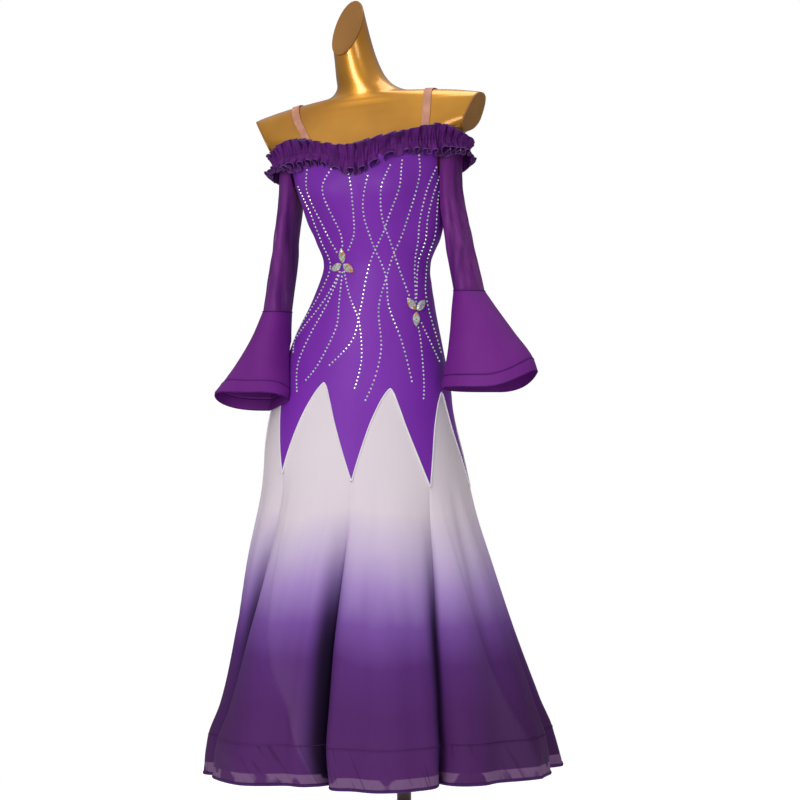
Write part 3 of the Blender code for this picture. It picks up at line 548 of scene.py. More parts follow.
def body_point(profile, turn, height, out=0.0):
    """The point of a station's oval at a turn, moved out from the body."""
    station = profile.at(height)
    angle = math.radians(turn)
    out = out + cup_raise(turn, height)
    depth = station.front if math.cos(angle) > 0 else station.back
    across = (station.half_width + out) * math.sin(angle)
    ahead = -(depth + out) * math.cos(angle)
    roll = math.radians(station.roll)
    return Vector(
        (
            station.centre_x + across * math.cos(roll),
            station.centre_y + ahead,
            height + across * math.sin(roll),
        )
    )


def neckline_height(turn):
    """Height of the gather line, which the bodice's top edge follows away from the armholes."""
    turn = abs(wrapped(turn))
    dip = NECKLINE_DIP * bump(turn, NECKLINE_DIP_TURN)
    drop = BACK_NECKLINE_DROP * eased((turn - 50.0) / 110.0)
    return NECKLINE_HEIGHT - dip - drop


def bodice_top(turn):
    """Height of the bodice's top edge, which dips under each arm."""
    off_side = abs(abs(wrapped(turn)) - 90.0)
    under_arm = 1.0 - eased(off_side / (90.0 - ARMHOLE_START_TURN))
    return mixed(neckline_height(turn), ARMPIT_HEIGHT, under_arm)


def from_peak(turn):
    """0 at a gore's peak and 1 at a point of the bodice."""
    return abs(((turn - FIRST_POINT_TURN) / SECTOR) % 1.0 - 0.5) * 2.0


def point_seam(turn):
    """Height of the seam between the bodice's points and the gores' peaks."""
    return mixed(PEAK_HEIGHT, POINT_HEIGHT, from_peak(turn) ** PEAK_CURVE)


def fold_growth(height):
    """0 above the folds of the skirt and 1 at the hem."""
    share = (FOLD_START_HEIGHT - height) / (FOLD_START_HEIGHT - HEM_HEIGHT)
    return max(share, 0.0) ** FOLD_GROWTH


def gore_turn(gore, share, height):
    """The turn of a place on a gore.  Lower down the crests widen and the valleys between them narrow."""
    left, right = VALLEYS[gore], VALLEYS[(gore + 1) % GORES]
    growth = fold_growth(height)
    along = share - VALLEY_SQUEEZE * growth * math.sin(2 * math.pi * share) / (2 * math.pi)
    turned = growth**VALLEY_TURN_GROWTH
    swung = math.sin(math.pi * growth**VALLEY_SWING_GROWTH)
    start = FIRST_POINT_TURN + SECTOR * gore + left.shift * turned + left.swing * swung
    end = FIRST_POINT_TURN + SECTOR * (gore + 1) + right.shift * turned + right.swing * swung
    return mixed(start, end, along)


def skirt_point(gore, share, height, relief=0.0):
    """The point of a gore at a share of its width, 0 and 1 being its side seams."""
    growth = fold_growth(height)
    crest = math.sin(math.pi * share) ** (CREST_ROUNDNESS if share < 0.5 else TUCKED_ROUNDNESS)
    fold = SOFT_FOLDS[gore]
    soft = fold.depth * bump(share - fold.place, fold.width)
    depth = mixed(VALLEYS[gore].depth, VALLEYS[(gore + 1) % GORES].depth, share)
    inwards = (depth * (1.0 - crest) + soft) * growth
    return body_point(DRESS, gore_turn(gore, share, height), height, -inwards + relief)


def pushed_off_body(point):
    """Moves a point of a sleeve sideways out of the bodice and the hip, to just clear of them."""
    station = DRESS.at(point.z)
    roll = math.radians(station.roll)
    station = DRESS.at(point.z - (point.x - station.centre_x) * math.sin(roll))
    across = point.x - station.centre_x
    ahead = point.y - station.centre_y
    depth = (station.front if ahead < 0 else station.back) + SLEEVE_CLEARANCE
    reach = math.hypot(across / (station.half_width + SLEEVE_CLEARANCE), ahead / depth)
    if reach >= 1.0:
        return point
    return Vector((station.centre_x + across / reach, station.centre_y + ahead / reach, point.z))


def sleeve_point(profile, side, angle, height, fold_depth=0.0, out=0.0):
    """A point round a sleeve.  Angle 0 is its outer side, and 180 the side next to the body."""
    station = profile.at(height)
    outer = OUTER_WAY[side]
    turn = math.radians(angle)
    fuller = fold_depth * math.cos(SLEEVE_FOLDS * turn + SLEEVE_FOLD_PHASE) ** 3 + out
    across = outer * (station.half_x + fuller) * math.cos(turn)
    ahead = outer * (station.half_y + fuller) * math.sin(turn)
    return pushed_off_body(Vector((station.centre_x + across, station.centre_y + ahead, height)))


def sleeve_top(side, angle):
    """Height of a sleeve's top edge, which dips under the arm."""
    inner = 0.5 - 0.5 * math.cos(math.radians(angle))
    return SLEEVE_ROWS[side][0].height - ARMPIT_DROP * inner**8


def cuff_edge(side, angle):
    """Height of a cuff's edge, lower at the back and higher away from the body."""
    rear = 0.5 + 0.5 * math.sin(math.radians(angle)) * OUTER_WAY[side]
    outer = max(math.cos(math.radians(angle)), 0.0) ** 2
    return BELL_ROWS[side][-1].height - CUFF_BACK_DROP[side] * eased(rear) + CUFF_OUTER_RISE[side] * outer


def over_sleeve(turn):
    """1 where the ruffle crosses the top of a sleeve, falling to 0 away from it."""
    return bump(abs(wrapped(turn)) - RUFFLE_SLEEVE_TURN, RUFFLE_SLEEVE_SPREAD_TURN)


def ruffle_line(turn):
    """The gather line, round the bodice and outside the tops of the sleeves."""
    out = RUFFLE_STAND_OFF + RUFFLE_SLEEVE_BULGE * over_sleeve(turn)
    return body_point(DRESS, turn, neckline_height(turn), out)


def finished(name, shape, material, smooth=True, wall=0.0):
    """Makes an object of a bmesh, with a wall of cloth behind its surface if it is to have one."""
    mesh = bpy.data.meshes.new(name)
    shape.to_mesh(mesh)
    shape.free()
    mesh.materials.append(material)
    if smooth:
        mesh.shade_smooth()
    made = bpy.data.objects.new(name, mesh)
    bpy.context.scene.collection.objects.link(made)
    if wall:
        thickness = made.modifiers.new("wall", "SOLIDIFY")
        thickness.thickness = wall
        thickness.offset = -1.0
        thickness.use_quality_normals = True
    return made


def put_on(piece, material_slot, *nodes):
    """Fixes a finished piece to the part, in place of its plain nodes."""
    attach(piece, "root")
    if nodes:
        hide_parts(*nodes)
    return piece


def cloth_sheet(name, columns, rows, place, material, cut, ring=False, wall=0.0):
    """A sheet of cloth.  place(across, down) gives the point at a share of its width and length.

    Its own map, which the weave follows, is laid out in metres from its cut.
    """
    shape = bmesh.new()
    bmesh.ops.create_grid(shape, x_segments=columns, y_segments=rows, size=0.5)
    thread_map = shape.loops.layers.uv.new("threads")
    for face in shape.faces:
        for corner in face.loops:
            flat = corner.vert.co
            corner[thread_map].uv = ((flat.x + 0.5) * cut.width, (0.5 - flat.y) * cut.length)
    for vert in shape.verts:
        vert.co = place(vert.co.x + 0.5, 0.5 - vert.co.y)
    if ring:
        bmesh.ops.remove_doubles(shape, verts=shape.verts, dist=1e-5)
    return finished(name, shape, material, wall=wall)


def cord_on_cloth(name, steps, spot, radius, material, ring=True, sides=8, flat=1.0):
    """A round cord laid on the cloth.  spot(share) gives its middle and the way out of the cloth."""
    spots = [spot(n / steps) for n in range(steps + 1)]
    spine = [middle for middle, _out in spots]
    shape = bmesh.new()
    bmesh.ops.create_grid(shape, x_segments=sides, y_segments=steps, size=0.5)
    for vert in shape.verts:
        n = round((0.5 - vert.co.y) * steps)
        before = spine[n - 1] if n else (spine[-2] if ring else spine[0])
        after = spine[n + 1] if n < steps else (spine[1] if ring else spine[-1])
        ahead = (after - before).normalized()
        side = ahead.cross(spots[n][1]).normalized()
        up = side.cross(ahead)
        turn = 2 * math.pi * (vert.co.x + 0.5)
        vert.co = spine[n] + (side * math.sin(turn) + up * math.cos(turn) * flat) * radius
    bmesh.ops.remove_doubles(shape, verts=shape.verts, dist=1e-6)
    bmesh.ops.recalc_face_normals(shape, faces=shape.faces)
    return finished(name, shape, material)


def outwards(point_at, turn, height):
    """The way out of a surface that is given by turn and height."""
    across = point_at(turn + 0.6, height) - point_at(turn - 0.6, height)
    up = point_at(turn, height + 0.003) - point_at(turn, height - 0.003)
    return across.cross(up).normalized()


def level_way(middle, centre_x, centre_y):
    """The level way out from a centre line."""
    return Vector((middle.x - centre_x, middle.y - centre_y, 0.0)).normalized()


def ripple(across, along, seed):
    """A soft unevenness between about -1 and 1."""
    return noise.noise(Vector((across, along, seed))) * 1.6


def bodice_point(turn, height):
    """The jersey, with faint pulls that fan out from the waist at the sides."""
    near_waist = bump(height - WAIST_HEIGHT, PULL_SPREAD) * abs(math.sin(math.radians(turn)))
    pulls = PULL_DEPTH * near_waist * ripple(turn / 34.0, height * 62.0 + turn / 16.0, 3.0)
    return body_point(DRESS, turn, height, pulls)


def build_bodice(jersey):
    for name, first_turn in (("front", FIRST_POINT_TURN - 90.0), ("back", FIRST_POINT_TURN + 90.0)):

        def place(across, down):
            turn = first_turn + mixed(0.15, 179.85, across)
            return bodice_point(turn, mixed(bodice_top(turn), point_seam(turn), down))

        cut = BODICE_CUTS[name]
        panel = cloth_sheet(f"{name}_panel", 144, 84, place, jersey, cut, wall=CLOTH_WALL)
        put_on(panel, "violet_jersey", f"bodice_{name}")


def gore_top(gore, share):
    """Height of a gore's top edge, just under the bodice's points."""
    height = PEAK_HEIGHT
    for _ in range(5):
        height = point_seam(gore_turn(gore, share, height)) - POINT_SEAM_GAP
    return height


def pleat_rise(gore, share, height):
    """1 just inside a pleat's crisp edge, falling to 0 away from it, and 0 outside the edge."""
    pleat = PLEATS.get(gore % GORES)
    if pleat is None:
        return 0.0
    inside = (share - pleat.share - pleat.slant * (PLEAT_MIDDLE_HEIGHT - height)) * pleat.side
    return eased(inside / PLEAT_EDGE + 0.5) * (1.0 - eased(inside / pleat.fade))


def drape(gore, share, height):
    """Soft lengthwise drapes between a gore's seams, deeper lower down."""
    calm = math.sin(math.pi * share) ** 0.8 * fold_growth(height)
    broad = BROAD_DRAPE * ripple(share * 4.2, height * 1.4, gore * 3.7)
    fine = FINE_DRAPE * ripple(share * 12.0 + height * 2.0, height * 2.2, gore * 5.1 + 40.0)
    return (broad + fine + PLEAT_DEPTH * pleat_rise(gore, share, height)) * calm


def mark_painted_shade_and_highlight(piece, width, first, gores=1):
    """Marks the painted shade of each place of the skirt, by how deep in a fold it lies, and the painted
    highlight on the raised side of a pleat.
    """
    for mark in ("fold", "pleat_highlight"):
        piece.data.attributes.new(mark, "FLOAT", "POINT")
    folds, layers = (piece.data.attributes[mark].data for mark in ("fold", "pleat_highlight"))
    for loop, thread in zip(piece.data.loops, piece.data.uv_layers["threads"].data):
        across = thread.uv.x / width * gores
        gore, share = first + int(across), across % 1.0
        height = piece.data.vertices[loop.vertex_index].co.z
        growth = fold_growth(height)
        # Painted shade: darker where the gore tucks in behind the next one and, less, along its first edge
        shade_behind_next = eased((share - SHADE_START) / SHADE_WIDTH)
        shade_behind_last = SHADE_FIRST_DEPTH * eased((SHADE_FIRST - share) / SHADE_FIRST)
        depth = min(shade_behind_next + shade_behind_last, 1.0)
        folds[loop.vertex_index].value = depth * eased((growth - SHADE_GROWTH_START) / SHADE_GROWTH_WIDTH)
        # Painted highlight just inside a pleat's crisp edge
        layers[loop.vertex_index].value = pleat_rise(gore, share, height) * growth


def hem_edge(gore, share):
    return HEM_HEIGHT - SOFT_FOLDS[gore].drop * math.sin(math.pi * share)


def hem_place(across, height_of, out=0.0):
    """A place on the foot band, at a share of the way round and a height given for its gore."""
    gore, share = divmod(across * GORES, 1.0)
    gore = int(gore) % GORES
    height = height_of(gore, share)
    slant = ripple(across * 52.0 + height * 26.0, height * 9.0 - across * 11.0, 8.0)
    crease = BAND_CREASE * slant * math.sin(math.pi * (BAND_SEAM_HEIGHT - height) / BAND_DEPTH)
    return skirt_point(gore, share, height, drape(gore, share, height) + crease + out)


def build_skirt(chiffon, sheer_band, binding):
    for gore in range(GORES):

        def place(across, down):
            height = mixed(gore_top(gore, across), BAND_SEAM_HEIGHT + SEAM_GAP, down)
            return skirt_point(gore, across, height, drape(gore, across, height))

        piece = cloth_sheet(f"gore_{gore + 1}", 64, 100, place, chiffon, GORE_CUTS[gore])
        mark_painted_shade_and_highlight(piece, GORE_CUTS[gore].width, gore)
        put_on(piece, "dyed_chiffon", f"skirt_gore_{gore + 1}")

    def band_place(across, down):
        tucked = -BAND_TUCK_DEPTH * max(1.0 - 14.0 * down, 0.0)
        seam = BAND_SEAM_HEIGHT + BAND_TUCK_HEIGHT
        return hem_place(across, lambda gore, share: mixed(seam, hem_edge(gore, share), down), tucked)

    def edge_spot(rise, out):
        def spot(share):
            middle = hem_place(share, lambda gore, part: hem_edge(gore, part) + rise, out)
            return middle, level_way(middle, DRESS.rows[0].centre_x, 0.0)

        return spot

    steps = 80 * GORES
    band = cloth_sheet("foot_band", steps, 14, band_place, sheer_band, BAND_CUT, ring=True)
    mark_painted_shade_and_highlight(band, BAND_CUT.width, 0, GORES)
    put_on(band, "band_chiffon", "hem_band")
    hem, top = edge_spot(BINDING_RISE, -BINDING_SINK), edge_spot(BAND_DEPTH, SEAM_GAP)
    edge = cord_on_cloth("hem_binding", steps, hem, BINDING_RADIUS, binding, flat=0.55)
    put_on(edge, "band_chiffon")
    put_on(cord_on_cloth("band_seam", steps, top, SEAM_RADIUS, chiffon, sides=6), "dyed_chiffon")


def build_piping(pale):
    """The pale piping along the seam, from point to point."""
    for gore in range(GORES):

        def spot(share):
            turn = FIRST_POINT_TURN + SECTOR * (gore + mixed(0.004, 0.996, share))
            height = point_seam(turn) - POINT_SEAM_GAP / 2
            return body_point(DRESS, turn, height, PIPING_LIFT), outwards(bodice_point, turn, height)

        arc = cord_on_cloth(f"point_piping_{gore + 1}", 60, spot, PIPING_RADIUS, pale, ring=False)
        put_on(arc, "dyed_chiffon")


def build_sleeve(side, net, crepe, edging):
    upper, bell = Profile(SLEEVE_ROWS[side]), Profile(BELL_ROWS[side])
    elbow = SLEEVE_ROWS[side][-1].height

    def upper_place(across, down):
        angle = 360.0 * across
        height = mixed(sleeve_top(side, angle), elbow, down)
        calm = math.sin(math.pi * down)
        slack = NET_SLACK * ripple(math.cos(math.radians(angle)) * 1.4, height * 34.0, angle / 90.0)
        return sleeve_point(upper, side, angle, height, SLEEVE_FOLD_DEPTH * calm, slack * calm)

    def bell_point(angle, height, out=0.0):
        flute = math.cos(math.radians(3.0 * angle + 50.0)) * eased((elbow - height) / 0.12)
        return sleeve_point(bell, side, angle, height, 0.0, BELL_FLUTE * flute + out)

    def bell_place(across, down):
        angle = 360.0 * across
        return bell_point(angle, mixed(elbow, cuff_edge(side, angle) + CUFF_BAND_DEPTH, down))

    def cuff_place(across, down):
        angle = 360.0 * across
        height = cuff_edge(side, angle) + mixed(CUFF_BAND_DEPTH - SEAM_GAP, 0.0, down)
        return bell_point(angle, height, CUFF_LIFT)

    def trim_spot(height_at, out):
        def spot(share):
            angle = 360.0 * share
            middle = bell_point(angle, height_at(angle), out)
            centre = bell.at(middle.z)
            return middle, level_way(middle, centre.centre_x, centre.centre_y)

        return spot

    tube = cloth_sheet(f"net_sleeve_{side}", 96, 96, upper_place, net, SLEEVE_CUT, ring=True)
    put_on(tube, "violet_net", f"sleeve_upper_{side}")
    for name, rows, place, cut, plain_node in (
        ("bell", 48, bell_place, BELL_CUTS[side], "sleeve_bell"),
        ("cuff", 10, cuff_place, CUFF_CUTS[side], "cuff_band"),
    ):
        flare = cloth_sheet(f"{name}_{side}", 120, rows, place, crepe, cut, ring=True, wall=CLOTH_WALL)
        put_on(flare, "bell_crepe", f"{plain_node}_{side}")
    for name, height_at, out, radius in (
        ("cuff_edge", lambda angle: cuff_edge(side, angle) + 0.0006, 0.0, 0.0009),
        ("cuff_seam", lambda angle: cuff_edge(side, angle) + CUFF_BAND_DEPTH, 0.0004, 0.0007),
        ("elbow_seam", lambda _angle: elbow, 0.0006, 0.0008),
    ):
        cord = cord_on_cloth(f"{name}_{side}", 160, trim_spot(height_at, out), radius, edging, sides=6)
        put_on(cord, "bell_crepe")


def swell(share, waves, amount, phase=0.0):
    """A wave that goes round the ruffle a number of times."""
    return amount * math.sin(2 * math.pi * waves * share + phase)


def frill_wave(share, edge):
    """The frill of one edge: how far out and along it swings."""
    wander = swell(share, 3, 2.3, edge) + swell(share, 11, 1.3, 2.0 * edge)
    beat = RUFFLE_FRILLS * 2 * math.pi * share + wander
    size = 1.0 + swell(share, 7, 0.35, 2.6 * edge) + swell(share, 17, 0.25, edge)
    return size * math.cos(beat), size * math.sin(2 * beat)


def build_ruffle(chiffon, overlock):
    """The ruffle, gathered along its middle, with both edges frilled in uneven waves."""
    steps = RUFFLE_WAVES * 24
    line = [ruffle_line(360.0 * n / steps) for n in range(steps)]

    def frame_at(share):
        n = round(share * steps) % steps
        along = (line[(n + 1) % steps] - line[n - 1]).normalized()
        return line[n], along, along.cross(Vector((0.0, 0.0, 1.0))).normalized()

    def ruffle_point(share, down, out=0.0):
        point, along, away = frame_at(share)
        edge = UPPER_FRILL if down < 0.5 else LOWER_FRILL
        flatter = 1.0 - RUFFLE_SLEEVE_FLATTEN * over_sleeve(360.0 * share)
        from_middle = abs(2.0 * down - 1.0)
        frill = from_middle**1.25
        swing, shift = frill_wave(share, edge.phase)
        rise = edge.rise * from_middle * (1.0 + swell(share, 7, 0.15, 1.0))
        rise += edge.meander * from_middle**2 * swing
        gather = math.cos(3 * RUFFLE_WAVES * 2 * math.pi * share) * (1.0 + swell(share, 9.5, 0.5))
        away_by = RUFFLE_LEAN * from_middle**1.5 + RUFFLE_LOOP * frill * (0.8 + edge.loop * swing)
        away_by += RUFFLE_WAVE_DEPTH * math.cos(RUFFLE_WAVES * 2 * math.pi * share)
        away_by += GATHER_DEPTH * gather * (1.0 - from_middle) ** 0.7
        shifted = along * (RUFFLE_LOOP_SHIFT * frill * shift)
        return point + away * (away_by * flatter + out) + shifted + Vector((0.0, 0.0, rise * flatter))

    def cord_along(name, down, radius, thread, out=0.0):
        def spot(share):
            return ruffle_point(share, down, out), frame_at(share)[2]

        return put_on(cord_on_cloth(name, steps, spot, radius, thread, sides=5), "ruffle_chiffon")

    ruffle = cloth_sheet("gathered_ruffle", steps, 20, ruffle_point, chiffon, RUFFLE_CUT, ring=True)
    put_on(ruffle, "ruffle_chiffon", "neckline_ruffle")
    sewn_on = [
        cord_along("overlock_upper", 0.0, OVERLOCK_RADIUS, overlock),
        cord_along("overlock_lower", 1.0, OVERLOCK_RADIUS, overlock),
        cord_along("gather_stitching", 0.5, STITCHING_RADIUS, chiffon, STITCHING_LIFT),
    ]


def between(first, last, steps):
    """Even steps from one value to another, with both."""
    return [mixed(first, last, n / steps) for n in range(steps + 1)]


def arm_cut(side):
    """Point and normal of the plane that ends a shoulder."""
    station = FORM.at(ARM_CUT_HEIGHT)
    roll = Matrix.Rotation(-math.radians(station.roll), 3, "Y")
    point = roll @ Vector((side * ARM_CUT_OFFSET, 0.0, 0.0))
    tilt = math.radians(ARM_CUT_TILT)
    normal = roll @ Vector((side * math.cos(tilt), -ARM_CUT_FORWARD, -math.sin(tilt)))
    centre = Vector((station.centre_x, station.centre_y, ARM_CUT_HEIGHT))
    return centre + point, normal.normalized()


def cut_off(shape, point, normal, above):
    """Cuts the form off at a plane, above a height, and gives the outline of the cut."""
    upper = [v for v in shape.verts if v.co.z > above and (v.co - point).dot(normal) > -0.03]
    edges = dict.fromkeys(e for v in upper for e in v.link_edges)  # each once, in the same order every run
    faces = dict.fromkeys(f for v in upper for f in v.link_faces)
    verts = dict.fromkeys(v for f in faces for v in f.verts)
    open_before = {e for e in shape.edges if e.is_boundary}
    bmesh.ops.bisect_plane(
        shape,
        geom=[*verts, *edges, *faces],
        dist=1e-6,
        plane_co=point,
        plane_no=normal,
        clear_outer=True,
    )
    opened = [e for e in shape.edges if e.is_boundary and e not in open_before]
    rim = [e for e in opened if min(v.co.z for v in e.verts) > above]
    made = bmesh.ops.holes_fill(shape, edges=rim)
    return [v.co.copy() for v in made["faces"][0].verts]


def build_cap(name, outline, normal, plastic):
    """A flat cap on a cut face of the form, with a softened rim."""
    cap = bmesh.new()
    base = cap.faces.new([cap.verts.new(p + normal * SEAM_GAP) for p in outline])
    grown = bmesh.ops.extrude_face_region(cap, geom=[base])["geom"]
    far = [v for v in grown if isinstance(v, bmesh.types.BMVert)]
    bmesh.ops.translate(cap, verts=far, vec=normal * CAP_THICKNESS)
    bmesh.ops.recalc_face_normals(cap, faces=cap.faces)
    rim = [e for e in cap.edges if all(v in far for v in e.verts)]
    bmesh.ops.bevel(cap, geom=rim, offset=CAP_EDGE, segments=2, profile=0.5, affect="EDGES", material=-1)
    put_on(finished(f"form_{name}", cap, plastic, smooth=False), "gold_cap", name)


def build_form(gold, cap_plastic):
    """The form's torso, and the flat caps on its neck and arms."""
    heights = [height for stretch in FORM_LEVELS for height in between(*stretch)]
    shape = bmesh.new()
    bmesh.ops.create_grid(shape, x_segments=112, y_segments=len(heights) - 1, size=0.5)
    for vert in shape.verts:
        height = heights[round((0.5 - vert.co.y) * (len(heights) - 1))]
        vert.co = body_point(FORM, 360.0 * (vert.co.x + 0.5), height, -EASE)
    bmesh.ops.remove_doubles(shape, verts=shape.verts, dist=1e-6)
    for name, point, normal, above in (
        ("neck_cap", NECK_CUT_POINT, NECK_CUT_NORMAL.normalized(), 1.45),
        ("arm_cap_left", *arm_cut(1.0), 1.28),
        ("arm_cap_right", *arm_cut(-1.0), 1.28),
    ):
        build_cap(name, cut_off(shape, point, normal, above), normal, cap_plastic)
    bmesh.ops.holes_fill(shape, edges=[e for e in shape.edges if e.is_boundary])
    bmesh.ops.recalc_face_normals(shape, faces=shape.faces)
    torso = finished("gold_form", shape, gold)
    torso.data.set_sharp_from_angle(angle=math.radians(40.0))
    put_on(torso, "gold_lacquer", "dress_form")
    return torso


def build_straps(form, elastic):
    """Ribbed elastic over the shoulders, from behind the front neckline to behind the back one."""
    tree = BVHTree.FromPolygons(
        [v.co.copy() for v in form.data.vertices], [list(f.vertices) for f in form.data.polygons]
    )
    station = FORM.at(STRAP_CENTRE_HEIGHT)
    roll = Matrix.Rotation(-math.radians(station.roll), 3, "Y")
    centre = Vector((station.centre_x, station.centre_y, STRAP_CENTRE_HEIGHT))
    for name, strap in STRAP_PLACES.items():

        def place(across, down):
            turn = math.radians(mixed(STRAP_FRONT_ANGLE, STRAP_BACK_ANGLE, down))
            offset = strap.side * mixed(strap.ends, strap.top, max(math.sin(turn), 0.0))
            inwards = roll @ Vector((0.0, math.cos(turn), -math.sin(turn)))
            middle = centre + roll @ Vector((offset + (0.5 - across) * STRAP_WIDTH, 0.0, 0.0))
            hit, normal, _index, _distance = tree.ray_cast(middle - inwards * 0.4, inwards)
            return hit + normal * (STRAP_LIFT + RIB_DEPTH * math.cos(RIBS * 2 * math.pi * across))

        piece = cloth_sheet(f"elastic_strap_{name}", 36, 150, place, elastic, STRAP_CUT, wall=CLOTH_WALL)
        put_on(piece, "skin_elastic", f"shoulder_strap_{name}")


def build_stand(steel):
    """The stand's plain round pieces, with rounded edges."""
    for piece in STAND:
        shape = bmesh.new()
        bmesh.ops.create_cone(
            shape,
            cap_ends=True,
            segments=piece.sides,
            radius1=piece.radius,
            radius2=piece.radius,
            depth=piece.top - piece.bottom,
            matrix=Matrix.Translation((0.0, 0.0, (piece.top + piece.bottom) / 2)),
        )
        rims = [e for e in shape.edges if abs(e.verts[0].co.z - e.verts[1].co.z) < 1e-6]
        bmesh.ops.bevel(
            shape, geom=rims, offset=piece.edge, segments=3, profile=0.5, affect="EDGES", material=-1
        )
        made = finished(piece.name, shape, steel)
        made.data.set_sharp_from_angle(angle=math.radians(35.0))
        put_on(made, "dark_steel", piece.node)


def smooth_run(places, share):
    """A smooth line through places, by share of its length in places."""
    at = share * (len(places) - 1)
    n = min(int(at), len(places) - 2)
    t = at - n
    a, b = places[max(n - 1, 0)], places[n]
    c, d = places[n + 1], places[min(n + 2, len(places) - 1)]
    return [
        0.5 * (2 * q + (r - p) * t + (2 * p - 5 * q + 4 * r - s) * t * t + (3 * q - p - 3 * r + s) * t**3)
        for p, q, r, s in zip(a, b, c, d)
    ]


def stone_spots():
    """Where each rhinestone sits: the curved lines walked in even steps."""
    spots = []
    for line in STONE_LINES:
        last = None
        for share in between(0.0, 1.0, LINE_STEPS):
            turn, height = smooth_run(line, share)
            point = body_point(DRESS, turn, height)
            if last is not None and (point - last).length < STONE_SPACING:
                continue
            last = point
            if not any(under_petal(point, flower) for flower in FLOWERS):
                spots.append((turn, height))
    return spots


def under_petal(point, flower):
    """Whether a place on the bodice lies under or right beside one of a flower's stones."""
    middle = body_point(DRESS, flower.turn, flower.height)
    side = (body_point(DRESS, flower.turn + 2.0, flower.height) - middle).normalized()
    offset = point - middle
    across, up = offset.dot(side), offset.z
    for angle in flower.stone_angles:
        axis = math.radians(angle)
        along = across * math.cos(axis) + up * math.sin(axis) - STONE_MIDDLE
        aside = up * math.cos(axis) - across * math.sin(axis)
        if (along / KEEP_CLEAR_LENGTH) ** 2 + (aside / KEEP_CLEAR_WIDTH) ** 2 < 1.0:
            return True
    return offset.length < HEART_RADIUS


def build_rhinestones(crystal):
    shape = bmesh.new()
    for turn, height in stone_spots():
        out = outwards(bodice_point, turn, height)
        middle = bodice_point(turn, height) + out * STONE_HEIGHT * 0.5
        bmesh.ops.create_cone(
            shape,
            cap_ends=True,
            segments=8,
            radius1=STONE_RADIUS,
            radius2=STONE_RADIUS * STONE_TAPER,
            depth=STONE_HEIGHT,
            matrix=Matrix.Translation(middle) @ out.to_track_quat("Z", "Y").to_matrix().to_4x4(),
        )
    put_on(finished("rhinestone_lines", shape, crystal, smooth=False), "crystal")


def build_stone_flower(flower, crystal):
    """Three pointed oval stones on the curve of the bodice, each flat on the cloth under it."""
    middle = body_point(DRESS, flower.turn, flower.height)
    turn_scale = (body_point(DRESS, flower.turn + 1.0, flower.height) - middle).length
    rise_scale = (body_point(DRESS, flower.turn, flower.height + 0.01) - middle).length / 0.01
    stones = bmesh.new()
    for angle in flower.stone_angles:
        axis = math.radians(angle)
        turn = flower.turn + math.cos(axis) * STONE_MIDDLE / turn_scale
        height = flower.height + math.sin(axis) * STONE_MIDDLE / rise_scale
        out = outwards(bodice_point, turn, height)
        heart = bodice_point(turn, height)
        long_way = (heart - middle).cross(out).cross(-out).normalized()
        short_way = out.cross(long_way)
        round_stone = bmesh.ops.create_uvsphere(stones, u_segments=22, v_segments=10, radius=1.0)
        for vert in round_stone["verts"]:
            reach, aside, lift = vert.co
            pointed = max(1.0 - reach**2, 0.0) ** PETAL_POINT * (1.0 - PETAL_TAPER * reach)
            rise = PETAL_LIFT + STONE_THICKNESS * min(max(lift, 0.0) / STONE_TABLE, 1.0)
            along = long_way * (reach * PETAL_LENGTH / 2)
            vert.co = heart + along + short_way * (aside * pointed * PETAL_WIDTH / 2) + out * rise
    bmesh.ops.recalc_face_normals(stones, faces=stones.faces)
    made = finished(f"petal_stones_{flower.name}", stones, crystal, smooth=False)
    put_on(made, "crystal", f"stone_flower_{flower.name}")


def connect(tree, socket, value):
    """Links a socket to another one, or sets its value."""
    if isinstance(value, bpy.types.NodeSocket):
        tree.links.new(value, socket)
    else:
        socket.default_value = value


def feed(tree, made, **inputs):
    """Connects a node's inputs by their names, with _ for each space."""
    for name, value in inputs.items():
        connect(tree, made.inputs[name.replace("_", " ")], value)


def node(tree, kind, settings=None, **inputs):
    """Adds a shader node with its settings and inputs, and gives its outputs."""
    made = tree.nodes.new(f"ShaderNode{kind}")
    for name, value in (settings or {}).items():
        setattr(made, name, value)
    feed(tree, made, **inputs)
    return made.outputs


def worked(tree, operation, a, b=0.0):
    """The result of an operation on one or two numbers."""
    made = tree.nodes.new("ShaderNodeMath")
    made.operation = operation
    connect(tree, made.inputs[0], a)
    connect(tree, made.inputs[1], b)
    return made.outputs[0]


def blended(tree, share, a, b):
    """A colour between two others."""
    made = tree.nodes.new("ShaderNodeMix")
    made.data_type = "RGBA"
    for socket, value in ((0, share), (6, a), (7, b)):
        connect(tree, made.inputs[socket], (*value, 1.0) if isinstance(value, tuple) else value)
    return made.outputs[2]


def ramp(tree, share, stops):
    """A colour or a level by a share, smoothly from stop to stop."""
    made = tree.nodes.new("ShaderNodeValToRGB")
    connect(tree, made.inputs[0], share)
    points = made.color_ramp.elements
    while len(points) < len(stops):
        points.new(0.5)
    for point, (place, colour) in zip(points, stops):
        point.position = place
        point.color = (*colour, 1.0) if isinstance(colour, tuple) else (colour, colour, colour, 1.0)
    return made.outputs[0]


def effect(name, inputs, output_kind, build):
    """A shared effect: a node group with named number inputs and one output."""
    group = bpy.data.node_groups.new(name, "ShaderNodeTree")
    for label, value in inputs.items():
        socket = group.interface.new_socket(label, in_out="INPUT", socket_type="NodeSocketFloat")
        socket.default_value = value
    group.interface.new_socket("Result", in_out="OUTPUT", socket_type=output_kind)
    enter = group.nodes.new("NodeGroupInput")
    leave = group.nodes.new("NodeGroupOutput")
    connect(group, leave.inputs[0], build(group, enter.outputs))
    return group


def placed(tree, group, **inputs):
    """Puts a shared effect into a material."""
    made = tree.nodes.new("ShaderNodeGroup")
    made.node_tree = group
    feed(tree, made, **inputs)
    return made.outputs[0]


def on_piece(tree):
    """The place on the piece, in metres."""
    return node(tree, "TexCoord")["Object"]


